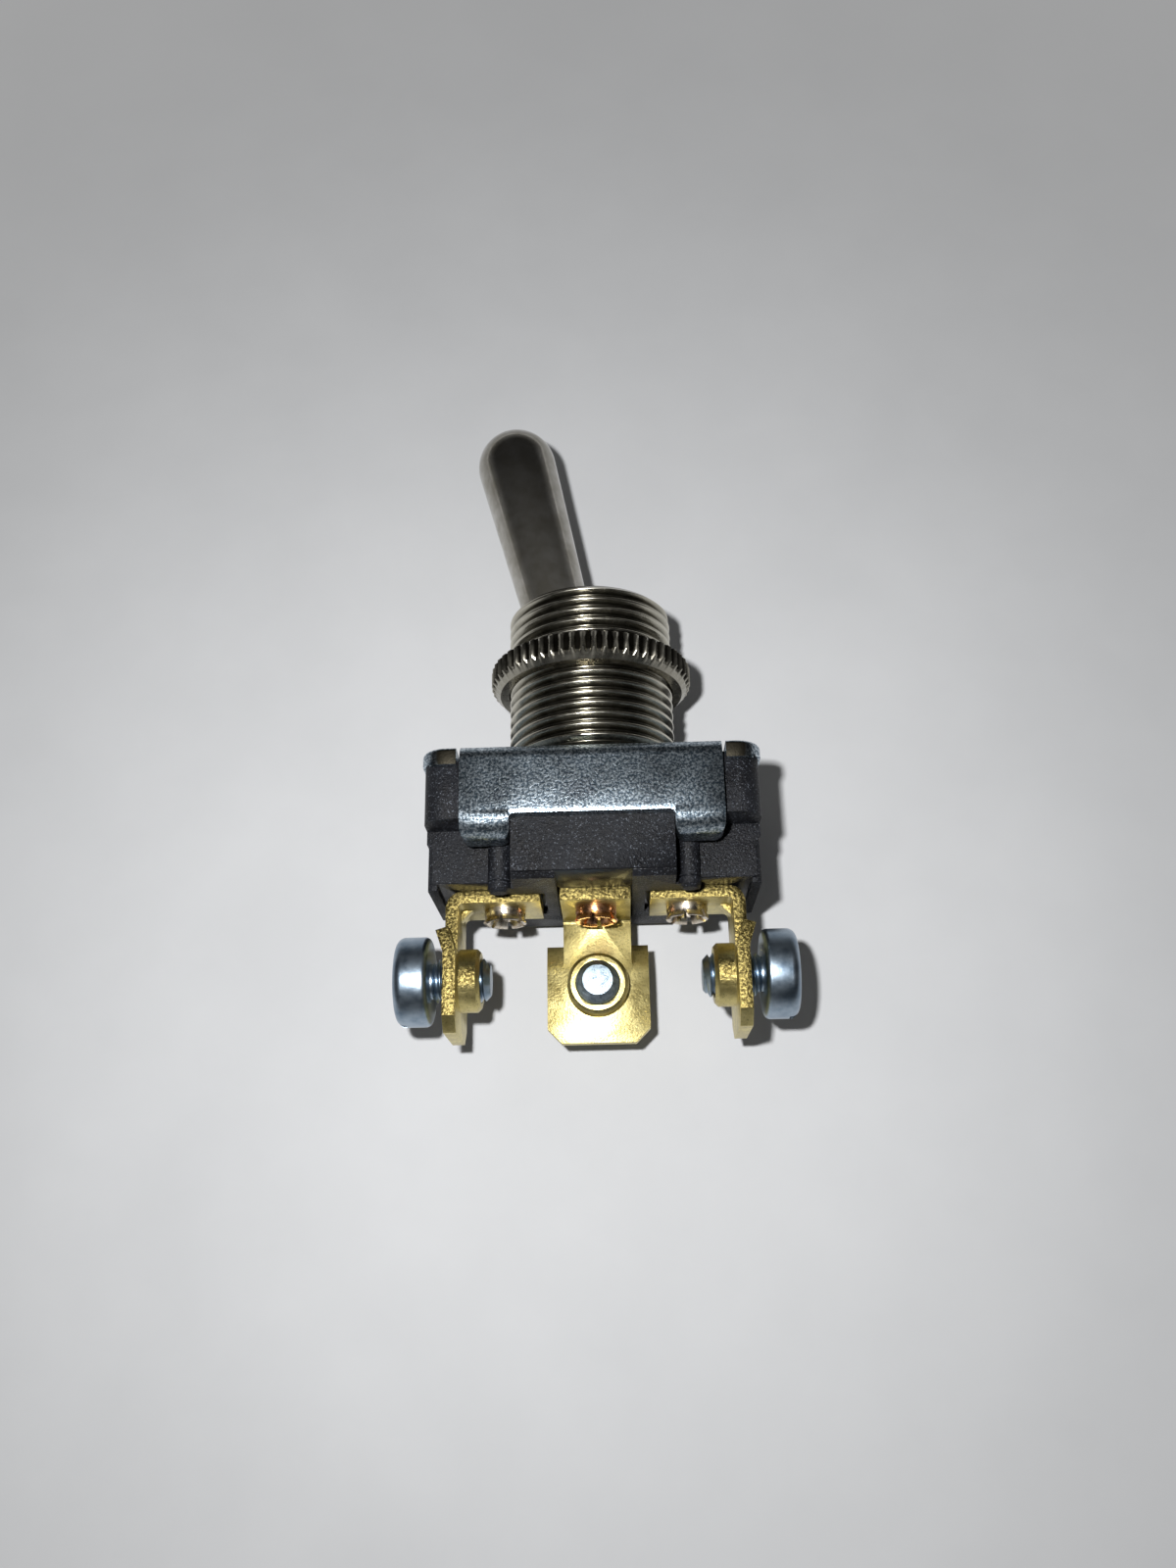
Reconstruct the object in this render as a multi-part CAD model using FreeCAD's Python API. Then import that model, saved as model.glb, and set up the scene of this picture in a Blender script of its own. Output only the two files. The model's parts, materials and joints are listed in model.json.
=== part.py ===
import FreeCAD, Part
import math
import os

from FreeCAD import Vector

# Panel-mount toggle switch with a bat lever, a threaded bushing and three screw terminals.
# X runs along the case, Y along the bushing axis towards the lever, Z out of the front flap.
# Pieces are drawn with Y = 0 on the bracket's top face. The origin of the finished part lies
# on the bushing axis where the free thread starts, just above the ring nut at rest.

# Play between pieces, in millimetres, and how far a cutter runs past what it cuts
running_gap = 0.05
rivet_gap = 0.02
slip_gap = 0.05
lift_gap = 0.10
past = 1.0

# Case
case_length = 22.5
front_step = 0.947
case_corner = 1.5
case_chamfer = 0.3
ear_drop = 6.1
side_zone_length = 5.85
side_zone_depth = 8.4
side_zone_inset = 0.1
case_drop = 9.0
block_chamfer = 0.45
rib_radius = 0.75
rib_space = 0.2
rib_out = 0.1
rib_drop = 0.35
end_wall = 1.65
front_wall = 1.7
cavity_step_drop = 3.9
well_wall = 1.0
floor_drop = 7.0

# Bracket
sheet = 0.85
bend_radius = 1.0
ear_overhang = 0.15
ear_front = 0.45
ear_skirt = 0.35
ear_length = 2.55
bracket_corner = 1.7
ear_rim = 0.3
flap_drop = 4.88
curl_drop = 4.5
curl_radius = 1.9
curl_lip = 0.5
curl_corner = 0.7
relief_width = 0.3
relief_depth = 1.7
notch_corner = 0.4

# Insulator sheet
insulator_thickness = 0.4
insulator_border = 1.0
insulator_corner = 1.0

# Bushing
stem_radius = 5.953
stem_length = 12.8
stem_chamfer = 0.4
free_thread_start = 8.6
thread_valley = 0.4
runout_ratio = 0.915
runout_height = 1.15
mouth_ratio = 0.84
bore_ratio = 0.63
throat_ratio = 0.52
neck_ratio = 0.83
swage_ratio = 0.94
swage_thickness = 0.5

# Ring nut
nut_below_origin = 0.1
nut_height = 1.95
nut_band = 1.337
nut_taper = 0.64
nut_top_chamfer = 0.17
knurl_depth = 0.3
knurl_teeth = 58

# Lever
pivot_height = 2.9
lever_lean_angle = 13.0
lever_neck_ratio = 0.527
lever_shank_radius = 2.1
lever_shank_at = 6.0
lever_reach = 27.05
bat_radius = 2.93
tail_ratio = 0.595
tail_reach = 4.4
tail_bore_radius = 1.55
tail_bore_top = 1.05
pivot_pin_radius = 0.8
pivot_pin_ratio = 0.823
pin_slot_end_gap = 0.1

# Plunger and its spring
plunger_nose_radius = 1.0
plunger_nose_length = 1.2
plunger_head_length = 2.3
spring_wire_radius = 0.16
spring_turns = 4
spring_wire_sides = 6
spring_end_gap = 0.06

# Contact rocker and its saddle
rocker_drop = 4.4
rocker_lean_angle = 9.0
rocker_overhang = 0.6
rocker_width = 4.0
rocker_thickness = 0.6
rocker_dip = 0.3
rocker_dip_length = 5.2
lug_width = 1.4
lug_play = 0.15
knife_radius = 0.2
saddle_thickness = 0.6
saddle_width = 3.2
saddle_play = 0.25
saddle_notch_depth = 0.5
saddle_notch_width = 2.4

# Contacts
contact_radius = 1.3
contact_height = 0.6
contact_edge = 0.35
silver_radius = 1.4
contact_air = 0.08

# Terminals
brass = 0.85
plate_spacing = 1.35
terminal_width = 4.8
tab_inset = 1.1
tab_width = 7.18
tab_drop = 9.63
tab_shoulder_drop = 2.7
tab_corner = 1.0
bend_outside = 1.2
wing_flare = 0.5
wing_height = 1.75
collar_radius = 2.15
collar_height = 1.4
collar_edge = 0.25
collar_drop = 5.7
dimple_size = 0.75
dimple_width = 0.8
pocket_floor_drop = 8.6
pocket_gap = 0.35
middle_pocket_gap = 0.15

# Rivets
rivet_ratio = 0.56
rivet_radius = 1.1
rivet_head_radius = 1.5
rivet_head_height = 0.5
rivet_barrel_radius = 1.42
rivet_flare_radius = 1.5
rivet_barrel_length = 0.95
rivet_slits = 3
rivet_slit_width = 0.25
rivet_slit_depth = 0.45
rivet_cup_radius = 0.95

# Clamp screws
screw_radius = 1.5
screw_length = 4.1
screw_tip_chamfer = 0.4
screw_head_radius = 3.05
screw_head_height = 2.45
screw_head_edge = 0.35
slot_width = 0.8
slot_depth = 0.8
cross_length = 3.4
left_screw_gap = 1.15
centre_screw_gap = 0.7
right_screw_gap = 1.05

# Places worked out from the sizes above
case_half_length = case_length / 2
case_half_depth = stem_radius + front_step
side_zone_half = side_zone_depth / 2
well_half = side_zone_half - well_wall
rivet_x = rivet_ratio * case_half_length
tab_outside_x = case_half_length - tab_inset
rivet_from_tab = tab_outside_x - rivet_x
plate_inside = rivet_x - terminal_width / 2 - plate_spacing
terminal_length = rivet_from_tab + plate_inside
flap_inside = case_half_depth + slip_gap
flap_outside = flap_inside + sheet
curl_inside_radius = curl_radius - sheet
curl_centre_z = flap_outside - curl_radius
shoulder_y = -(curl_drop + curl_inside_radius) + slip_gap
block_half = case_half_length - side_zone_length
flap_half = case_half_length - ear_length
rib_x = block_half + rib_space + rib_radius
rib_z = side_zone_half + rib_out
rim_y = -sheet
pocket_y = -pocket_floor_drop
collar_y = pocket_y - collar_drop
runout_radius = runout_ratio * stem_radius
mouth_radius = mouth_ratio * stem_radius
neck_radius = neck_ratio * stem_radius
swage_radius = swage_ratio * stem_radius
stem_bore_radius = bore_ratio * stem_radius
throat_radius = throat_ratio * stem_radius
ball_radius = stem_bore_radius - running_gap
lever_neck_radius = lever_neck_ratio * ball_radius
tail_radius = tail_ratio * ball_radius
pivot_pin_length = 2 * pivot_pin_ratio * stem_radius
nut_radius = stem_radius + nut_band
nut_small_radius = nut_radius - nut_taper
nut_face = free_thread_start - nut_below_origin
throat_rise = math.sqrt(stem_bore_radius ** 2 - throat_radius ** 2)
plunger_reach = pivot_height + rocker_drop - rocker_thickness - lift_gap
closing_angle = math.radians(rocker_lean_angle)
dome_height = contact_height - contact_edge
dome_radius = (contact_radius ** 2 + dome_height ** 2) / (2 * dome_height)
contact_low = (rocker_dip - contact_height) * math.cos(closing_angle) - rocker_drop
closed_y = contact_low - rivet_x * math.sin(closing_angle)
silver_top = closed_y - dome_radius * (1 - math.cos(closing_angle)) - contact_air
X_AXIS = Vector(1, 0, 0)
Y_AXIS = Vector(0, 1, 0)
Z_AXIS = Vector(0, 0, 1)


def block(x, y, z):
    """Box between three (low, high) pairs."""
    corner = Vector(x[0], y[0], z[0])
    return Part.makeBox(x[1] - x[0], y[1] - y[0], z[1] - z[0], corner)


def rod(radius, low, high, x=0.0, z=0.0):
    """Cylinder along Y from low to high."""
    return Part.makeCylinder(radius, high - low, Vector(x, low, z), Y_AXIS)


def outline(start, steps):
    """Closed wire in the XY plane: a step is a point, or a (mid, end) pair for an arc."""
    edges = []
    here = Vector(start[0], start[1], 0)
    first = here
    for step in steps:
        if isinstance(step[0], tuple):
            mid = Vector(step[0][0], step[0][1], 0)
            end = Vector(step[1][0], step[1][1], 0)
            edges.append(Part.Arc(here, mid, end).toShape())
        else:
            end = Vector(step[0], step[1], 0)
            edges.append(Part.makeLine(here, end))
        here = end
    if here.distanceToPoint(first) > 1e-7:
        edges.append(Part.makeLine(here, first))
    return Part.Wire(edges)


def turned(start, steps):
    """Solid of revolution about Y from an outline of (radius, height) points."""
    return Part.Face(outline(start, steps)).revolve(Vector(), Y_AXIS, 360)


def pressed(start, steps, half_width):
    """Outline in the XY plane thickened evenly along Z."""
    face = Part.Face(outline(start, steps))
    face.translate(Vector(0, 0, -half_width))
    return face.extrude(Vector(0, 0, 2 * half_width))


def dome_drop(base_radius, rise):
    """Depth of a dome's surface below its top, half-way out to its rim."""
    sphere = (base_radius ** 2 + rise ** 2) / (2 * rise)
    return sphere - math.sqrt(sphere ** 2 - base_radius ** 2 / 4)


def edges_along(shape, axis, keep):
    """Straight edges parallel to an axis whose centre passes a test."""
    found = []
    for edge in shape.Edges:
        if not isinstance(edge.Curve, Part.Line):
            continue
        if abs(edge.Curve.Direction.dot(axis)) > 0.999 and keep(edge.CenterOfMass):
            found.append(edge)
    return found


def mirrored_pair(shape, normal):
    """A shape and its mirror image through the origin."""
    return [shape, shape.mirror(Vector(), normal)]


def in_four_corners(shape):
    """A shape repeated by mirror in X and in Z."""
    copies = []
    for half in mirrored_pair(shape, X_AXIS):
        copies += mirrored_pair(half, Z_AXIS)
    return copies


def carved(shape, cutters):
    """Shape with each cutter taken out in turn, as one solid."""
    for cutter in cutters:
        shape = shape.cut(cutter)
    return shape.Solids[0]


def leaned(shape, height, degrees):
    """Shape turned about Z round a point on the Y axis."""
    turned_shape = shape.copy()
    turned_shape.rotate(Vector(0, height, 0), Z_AXIS, degrees)
    return turned_shape


def case_body():
    """Outside of the case: rounded upper box, centre block and recessed side zones."""
    upper = block((-case_half_length, case_half_length), (-ear_drop, rim_y),
                  (-case_half_depth, case_half_depth))
    upper = upper.makeFillet(case_corner, edges_along(upper, Y_AXIS, lambda c: True))
    lower_rim = [e for e in upper.Edges if abs(e.CenterOfMass.y + ear_drop) < 1e-6]
    upper = upper.makeChamfer(case_chamfer, lower_rim)
    centre = block((-block_half, block_half), (-case_drop, rim_y), (-case_half_depth, case_half_depth))
    bottom_edges = edges_along(centre, X_AXIS, lambda c: c.y < rim_y - past)
    centre = centre.makeChamfer(block_chamfer, bottom_edges)
    side_half = case_half_length - side_zone_inset
    sides = block((-side_half, side_half), (-case_drop, shoulder_y),
                  (-side_zone_half, side_zone_half))
    sides = sides.makeChamfer(case_chamfer, edges_along(sides, Y_AXIS, lambda c: True))
    rib = rod(rib_radius, -case_drop - rib_drop, shoulder_y, rib_x, rib_z)
    rib_end = [e for e in rib.Edges if e.CenterOfMass.y < -case_drop - rib_drop + 1e-6]
    rib = rib.makeChamfer(rib_radius / 3, rib_end)
    return upper.multiFuse([centre, sides] + in_four_corners(rib))


def curl_seats():
    """Cutters that let the bracket's curled tabs wrap round the case's shoulders."""
    across = (block_half, flap_half + 2 * slip_gap)
    step = block(across, (-ear_drop - past, shoulder_y), (side_zone_half, flap_outside))
    rib_keep = rod(rib_radius, -case_drop, shoulder_y + past, rib_x, rib_z)
    step = step.cut(rib_keep)
    radius = case_half_depth - curl_centre_z
    corner = block(across, (shoulder_y, shoulder_y + radius), (curl_centre_z, flap_outside))
    centre = Vector(across[0], shoulder_y + radius, curl_centre_z)
    round_part = Part.makeCylinder(radius, across[1] - across[0], centre, X_AXIS)
    return in_four_corners(step) + in_four_corners(corner.cut(round_part))


def case_cavity():
    """Room for the mechanism, stepped so that the side zones keep their walls."""
    half = case_half_length - end_wall
    wide_half = case_half_depth - front_wall
    wide = block((-half, half), (-cavity_step_drop, rim_y + past), (-wide_half, wide_half))
    well = block((-half, half), (-floor_drop, rim_y), (-well_half, well_half))
    swage_room = rod(swage_radius + lift_gap, rim_y - swage_thickness - lift_gap, rim_y + past)
    return [wide, well, swage_room, insulator_blank(slip_gap)]


def case_pockets():
    """Terminal pockets in the underside, with the openings that show from the front."""
    top = (-case_drop - past, pocket_y)
    reach_in = terminal_length - rivet_from_tab + pocket_gap
    reach_out = rivet_from_tab + pocket_gap
    half = terminal_width / 2 + pocket_gap
    middle_half = terminal_width / 2 + middle_pocket_gap
    middle = block((-middle_half, middle_half), top, (-reach_out, case_half_depth + past))
    side = block((rivet_x - reach_in, rivet_x + reach_out), top, (-half, half))
    opening = block((rib_x + rib_radius, rivet_x + reach_out), top, (-case_half_depth, case_half_depth))
    return [middle] + mirrored_pair(side, X_AXIS) + mirrored_pair(opening, X_AXIS)


def make_case():
    holes = []
    for x in (-rivet_x, 0.0, rivet_x):
        holes.append(rod(rivet_radius + rivet_gap, -case_drop - past, -floor_drop + past, x))
    return carved(case_body(), curl_seats() + case_cavity() + case_pockets() + holes)


def insulator_blank(growth):
    """Flat sheet with rounded corners, as large as the insulator plus a growth all round."""
    half_length = case_half_length - insulator_border + growth
    half_depth = case_half_depth - insulator_border + growth
    blank = block((-half_length, half_length), (rim_y - insulator_thickness, rim_y),
                  (-half_depth, half_depth))
    return blank.makeFillet(insulator_corner, edges_along(blank, Y_AXIS, lambda c: True))


def make_insulator():
    hole = rod(swage_radius + lift_gap, rim_y - past, rim_y + past)
    return insulator_blank(0.0).cut(hole)


def flap_channel():
    """Plate and both flaps as one folded channel, with the bends rounded."""
    low = -flap_drop - notch_corner
    outer = block((-flap_half, flap_half), (low, 0), (-flap_outside, flap_outside))
    outer = outer.makeFillet(bend_radius, edges_along(outer, X_AXIS, lambda c: c.y > -1e-6))
    inner = block((-flap_half - past, flap_half + past), (low - past, -sheet), (-flap_inside, flap_inside))
    notch_half = block_half + slip_gap
    notch = block((-notch_half, notch_half), (low - past, -flap_drop), (-flap_outside - past, flap_outside + past))
    notch = notch.makeFillet(notch_corner, edges_along(notch, Z_AXIS, lambda c: c.y > low))
    return carved(outer, [inner, notch])


def curled_tab():
    """One tab: a quarter curl under the case's shoulder and a short flat lip."""
    low = block_half + slip_gap
    width = flap_half - low
    centre = Vector(low, -curl_drop, curl_centre_z)
    outer = Part.makeCylinder(curl_radius, width, centre, X_AXIS)
    inner = Part.makeCylinder(curl_inside_radius, width, centre, X_AXIS)
    quarter = block((low, flap_half), (-curl_drop - curl_radius, -curl_drop),
                    (curl_centre_z, flap_outside))
    curl = outer.cut(inner).common(quarter)
    lip = block((low, flap_half), (-curl_drop - curl_radius, -curl_drop - curl_inside_radius),
                (curl_centre_z - curl_lip, curl_centre_z))
    face = block((low, flap_half), (-curl_drop - curl_radius, -curl_drop), (0, flap_outside))
    face = face.makeFillet(curl_corner, edges_along(face, Z_AXIS, lambda c: c.y < -curl_drop - past))
    return curl.fuse(lip).common(face)


def tab_side_notches():
    """Cutters that end the straight part of each flap where its curled tabs start."""
    low = block_half + slip_gap
    under_tab = block((low, flap_half + past), (-flap_drop - 2 * past, -curl_drop), (0, flap_outside + past))
    return in_four_corners(under_tab)


def bracket_ears():
    """Ends of the plate over the case's corners, with a rounded rim and an edge bent down in front."""
    half = case_half_length + ear_overhang
    front = case_half_depth + ear_front
    plate = block((-half, half), (-sheet - ear_skirt, 0), (-front, front))
    plate = plate.makeFillet(bracket_corner, edges_along(plate, Y_AXIS, lambda c: True))
    rim = [e for e in plate.Edges if e.CenterOfMass.y > -1e-6]
    plate = plate.makeFillet(ear_rim, rim)
    room = block((-half - past, half + past), (-sheet - ear_skirt - past, -sheet), (-flap_inside, flap_inside))
    return plate.cut(room)


def make_bracket():
    channel = flap_channel().cut(tab_side_notches())
    whole = channel.multiFuse(in_four_corners(curled_tab()) + [bracket_ears()])
    relief = block((flap_half, flap_half + relief_width), (-flap_drop, past),
                   (case_half_depth - relief_depth, flap_outside + past))
    hole = rod(neck_radius + rivet_gap, -sheet - past, past)
    return carved(whole, in_four_corners(relief) + [hole])


def make_bushing():
    """Turned stem with a ball seat, a swaged foot and one thread valley below the free thread."""
    seat_y = pivot_height + throat_rise
    equator = (stem_bore_radius, pivot_height)
    half_turn = math.atan2(throat_rise, throat_radius) / 2
    mid = (stem_bore_radius * math.cos(half_turn), pivot_height + stem_bore_radius * math.sin(half_turn))
    foot_y = -sheet - swage_thickness
    stem = turned((throat_radius, seat_y), [
        (mid, equator),
        (stem_bore_radius, foot_y),
        (swage_radius, foot_y),
        (swage_radius, -sheet),
        (neck_radius, -sheet),
        (neck_radius, 0),
        (runout_radius, 0),
        (runout_radius, runout_height),
        (stem_radius, runout_height + stem_radius - runout_radius),
        (stem_radius, free_thread_start - 2 * thread_valley),
        (stem_radius - thread_valley, free_thread_start - thread_valley),
        (stem_radius, free_thread_start),
        (stem_radius, stem_length - stem_chamfer),
        (stem_radius - stem_chamfer, stem_length),
        (mouth_radius, stem_length),
    ])
    slot_half = pivot_pin_radius + running_gap
    slot_reach = pivot_pin_length / 2 + pin_slot_end_gap
    slot = block((-slot_half, slot_half), (foot_y - past, pivot_height), (-slot_reach, slot_reach))
    slot_top = Part.makeCylinder(slot_half, 2 * slot_reach, Vector(0, pivot_height, -slot_reach), Z_AXIS)
    return carved(stem, [slot, slot_top])


def make_ring_nut():
    """Round nut: fine V knurl on the band, plain taper below it."""
    low = nut_face - nut_height
    slope = nut_radius - nut_small_radius
    ring = turned((stem_radius + running_gap, low), [
        (nut_small_radius, low),
        (nut_radius, low + slope),
        (nut_radius, nut_face - nut_top_chamfer),
        (nut_radius - nut_top_chamfer, nut_face),
        (stem_radius + running_gap, nut_face),
    ])
    corners = []
    for i in range(2 * knurl_teeth):
        radius = nut_radius if i % 2 == 0 else nut_radius - knurl_depth
        angle = math.pi * i / knurl_teeth
        corners.append(Vector(radius * math.cos(angle), low - past, radius * math.sin(angle)))
    star = Part.Face(Part.makePolygon(corners + corners[:1])).extrude(Vector(0, nut_height + 2 * past, 0))
    return ring.common(star)


def make_lever():
    """Bat lever drawn upright round its pivot, then leaned to its rest position."""
    neck_y = math.sqrt(ball_radius ** 2 - lever_neck_radius ** 2)
    tail_y = math.sqrt(ball_radius ** 2 - tail_radius ** 2)
    tip_centre = lever_reach - bat_radius
    quarter = bat_radius * math.sqrt(0.5)
    bar = turned((0, -tail_reach), [
        (tail_radius, -tail_reach),
        (tail_radius, -tail_y),
        ((ball_radius, 0), (lever_neck_radius, neck_y)),
        (lever_shank_radius, lever_shank_at),
        (bat_radius, tip_centre),
        ((quarter, tip_centre + quarter), (0, lever_reach)),
    ])
    bore = rod(tail_bore_radius, -tail_reach - past, -tail_bore_top)
    pin_hole = Part.makeCylinder(pivot_pin_radius + rivet_gap, 2 * (ball_radius + past),
                                 Vector(0, 0, -ball_radius - past), Z_AXIS)
    lever = carved(bar, [bore, pin_hole])
    lever.translate(Vector(0, pivot_height, 0))
    return leaned(lever, pivot_height, lever_lean_angle)


def make_pivot_pin():
    start = Vector(0, pivot_height, -pivot_pin_length / 2)
    pin = Part.makeCylinder(pivot_pin_radius, pivot_pin_length, start, Z_AXIS)
    return pin.makeChamfer(pivot_pin_radius / 5, [e for e in pin.Edges if e.Closed])


def make_plunger():
    """Stepped plunger with a round nose, sliding in the lever's tail."""
    nose_centre = plunger_nose_radius - plunger_reach
    step_y = nose_centre + plunger_nose_length - plunger_nose_radius
    head_radius = tail_bore_radius - running_gap
    quarter = plunger_nose_radius * math.sqrt(0.5)
    plunger = turned((0, -plunger_reach), [
        ((quarter, nose_centre - quarter), (plunger_nose_radius, nose_centre)),
        (plunger_nose_radius, step_y),
        (head_radius, step_y + head_radius - plunger_nose_radius),
        (head_radius, step_y + plunger_head_length),
        (0, step_y + plunger_head_length),
    ])
    plunger.translate(Vector(0, pivot_height, 0))
    return leaned(plunger, pivot_height, lever_lean_angle)


def make_plunger_spring():
    """Coil between the end of the tail's bore and the plunger's head."""
    head_y = plunger_nose_length - plunger_reach + plunger_head_length
    low = head_y + spring_end_gap + spring_wire_radius
    high = -tail_bore_top - spring_end_gap - spring_wire_radius
    coil_radius = tail_bore_radius - running_gap - 2 * spring_wire_radius
    helix = Part.makeHelix((high - low) / spring_turns, high - low, coil_radius)
    corners = []
    for i in range(spring_wire_sides + 1):
        angle = 2 * math.pi * (i % spring_wire_sides) / spring_wire_sides
        corners.append(Vector(coil_radius + spring_wire_radius * math.cos(angle), 0,
                              spring_wire_radius * math.sin(angle)))
    spring = Part.Wire(helix).makePipeShell([Part.makePolygon(corners)], True, True)
    spring.rotate(Vector(), X_AXIS, -90)
    spring.translate(Vector(0, pivot_height + low, 0))
    return leaned(spring, pivot_height, lever_lean_angle)


def make_contact_rocker():
    """See-saw strip, dipped in the middle, with lugs that rock in the saddle on a round edge."""
    half = rivet_x + rocker_overhang
    dip = rocker_dip_length / 2
    strip = pressed((0, 0), [
        (dip, rocker_dip),
        (half, rocker_dip),
        (half, rocker_dip + rocker_thickness),
        (dip, rocker_dip + rocker_thickness),
        (0, rocker_thickness),
        (-dip, rocker_dip + rocker_thickness),
        (-half, rocker_dip + rocker_thickness),
        (-half, rocker_dip),
        (-dip, rocker_dip),
    ], rocker_width / 2)
    ends = edges_along(strip, Y_AXIS, lambda c: abs(c.x) > half - 1e-6)
    strip = strip.makeFillet(rocker_width / 4, ends)
    lug_half = well_half - lug_play
    lugs = pressed((0, 0), [
        (lug_width / 2, rocker_thickness),
        (-lug_width / 2, rocker_thickness),
    ], lug_half)
    edge = Part.makeCylinder(knife_radius, 2 * lug_half, Vector(0, 0, -lug_half), Z_AXIS)
    rocker = strip.multiFuse([lugs, edge]).removeSplitter()
    rocker.translate(Vector(0, -rocker_drop, 0))
    return leaned(rocker, -rocker_drop, -rocker_lean_angle)


def make_moving_contact(side):
    """Domed contact under one end of the rocker."""
    mid_y = dome_drop(contact_radius, dome_height) - contact_height
    contact = turned((0, 0), [
        (contact_radius, 0),
        (contact_radius, -contact_edge),
        ((contact_radius / 2, mid_y), (0, -contact_height)),
    ])
    contact.translate(Vector(side * rivet_x, rocker_dip - rocker_drop, 0))
    return leaned(contact, -rocker_drop, -rocker_lean_angle)


def make_rocker_saddle():
    """U-shaped saddle on the floor, with a V notch in the top of each ear."""
    half = saddle_width / 2
    depth = well_half - saddle_play
    top = -rocker_drop - lift_gap - knife_radius + saddle_notch_depth
    outer = block((-half, half), (-floor_drop, top), (-depth, depth))
    inner_z = depth - saddle_thickness
    inner = block((-half - past, half + past), (-floor_drop + saddle_thickness, top + past), (-inner_z, inner_z))
    notch = pressed((0, top - saddle_notch_depth), [
        (saddle_notch_width / 2, top + 1e-3),
        (-saddle_notch_width / 2, top + 1e-3),
    ], depth + past)
    hole = rod(rivet_radius + rivet_gap, -floor_drop - past, -floor_drop + past)
    return carved(outer, [inner, notch, hole])


def make_fixed_contact(side):
    """Silver face on a side rivet's head."""
    low = -floor_drop + rivet_head_height
    disc = rod(silver_radius, low, silver_top, side * rivet_x)
    top_edge = [e for e in disc.Edges if abs(e.CenterOfMass.y - silver_top) < 1e-6]
    return disc.makeChamfer(contact_edge / 3, top_edge)


def make_rivet(x, seat_y):
    """Tubular rivet: round head inside, shank, and a split and flared outer end."""
    plate_y = pocket_y - brass
    end_y = plate_y - rivet_barrel_length
    rivet = turned((0, seat_y + rivet_head_height), [
        (rivet_head_radius, seat_y + rivet_head_height),
        (rivet_head_radius, seat_y),
        (rivet_radius, seat_y),
        (rivet_radius, plate_y),
        (rivet_barrel_radius, plate_y),
        (rivet_barrel_radius, end_y + rivet_slit_depth),
        (rivet_flare_radius, end_y + rivet_slit_depth / 2),
        (rivet_flare_radius - rivet_slit_width / 2, end_y),
        (rivet_cup_radius, end_y),
        (0, end_y + rivet_barrel_length * 0.8),
    ])
    slits = []
    for i in range(rivet_slits):
        slit = block((-rivet_flare_radius - past, rivet_flare_radius + past), (end_y - past, end_y + rivet_slit_depth),
                     (-rivet_slit_width / 2, rivet_slit_width / 2))
        slit.rotate(Vector(), Y_AXIS, 180.0 * i / rivet_slits)
        slits.append(slit)
    rivet = carved(rivet, slits)
    rivet.translate(Vector(x, 0, 0))
    return rivet


def terminal_strip():
    """Bent strip: plate under the case, rounded bend and the narrow neck of the tab."""
    outside = rivet_from_tab
    inside = outside - brass
    plate_low = pocket_y - brass
    bend_inside = bend_outside - brass
    neck_end = pocket_y - tab_shoulder_drop - wing_height
    outer_mid = bend_outside * (1 - math.sqrt(0.5))
    inner_mid = bend_inside * (1 - math.sqrt(0.5))
    return pressed((outside - terminal_length, pocket_y), [
        (outside - bend_outside, pocket_y),
        ((outside - outer_mid, pocket_y - outer_mid), (outside, pocket_y - bend_outside)),
        (outside, neck_end),
        (inside, neck_end),
        (inside, plate_low - bend_inside),
        ((inside - inner_mid, plate_low - inner_mid), (inside - bend_inside, plate_low)),
        (outside - terminal_length, plate_low),
    ], terminal_width / 2)


def terminal_tab():
    """Wide end of the tab with clipped corners, and wings whose tops flare outwards."""
    outside = rivet_from_tab
    inside = outside - brass
    wing_low = pocket_y - tab_shoulder_drop - wing_height
    wing_top = pocket_y - tab_shoulder_drop
    half = tab_width / 2
    tab = block((inside, outside), (pocket_y - tab_drop, wing_low), (-half, half))
    tab = tab.makeChamfer(tab_corner, edges_along(tab, X_AXIS, lambda c: c.y < wing_low - past))
    wings = pressed((inside, wing_low), [
        (outside, wing_low),
        (outside + wing_flare, wing_top - wing_flare / 2),
        (inside + wing_flare, wing_top),
    ], half)
    middle = block((inside - past, outside + past), (wing_low - past, wing_top + past),
                   (-terminal_width / 2, terminal_width / 2))
    return tab.fuse(wings.cut(middle))


def bend_dimple(size, width, corner_x, corner_y):
    """Small triangular gusset across the inside of the bend."""
    return pressed((corner_x, corner_y), [
        (corner_x - size, corner_y),
        (corner_x, corner_y - size),
    ], width / 2)


def make_terminal():
    """Terminal drawn round its rivet hole with the tab on the +X side."""
    inside = rivet_from_tab - brass
    plate_low = pocket_y - brass
    collar_base = Vector(inside, collar_y, 0)
    collar = Part.makeCylinder(collar_radius, collar_height, collar_base, -X_AXIS)
    rim = [e for e in collar.Edges if e.CenterOfMass.x < inside - collar_height + 1e-6]
    collar = collar.makeChamfer(collar_edge, rim)
    gusset = bend_dimple(dimple_size, dimple_width, inside, plate_low)
    dent = bend_dimple(dimple_size, dimple_width / 2, rivet_from_tab, pocket_y)
    body = terminal_strip().multiFuse([terminal_tab(), collar, gusset])
    thread_hole = Part.makeCylinder(screw_radius + running_gap, collar_height + brass + 2 * past,
                                    Vector(rivet_from_tab + past, collar_y, 0), -X_AXIS)
    rivet_hole = rod(rivet_radius + rivet_gap, plate_low - past, pocket_y + past)
    return carved(body, [thread_hole, rivet_hole, dent])


def placed_terminal(turn, x):
    """Terminal turned about Y and moved along X to its rivet."""
    terminal = make_terminal()
    terminal.rotate(Vector(), Y_AXIS, turn)
    terminal.translate(Vector(x, 0, 0))
    return terminal


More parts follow.
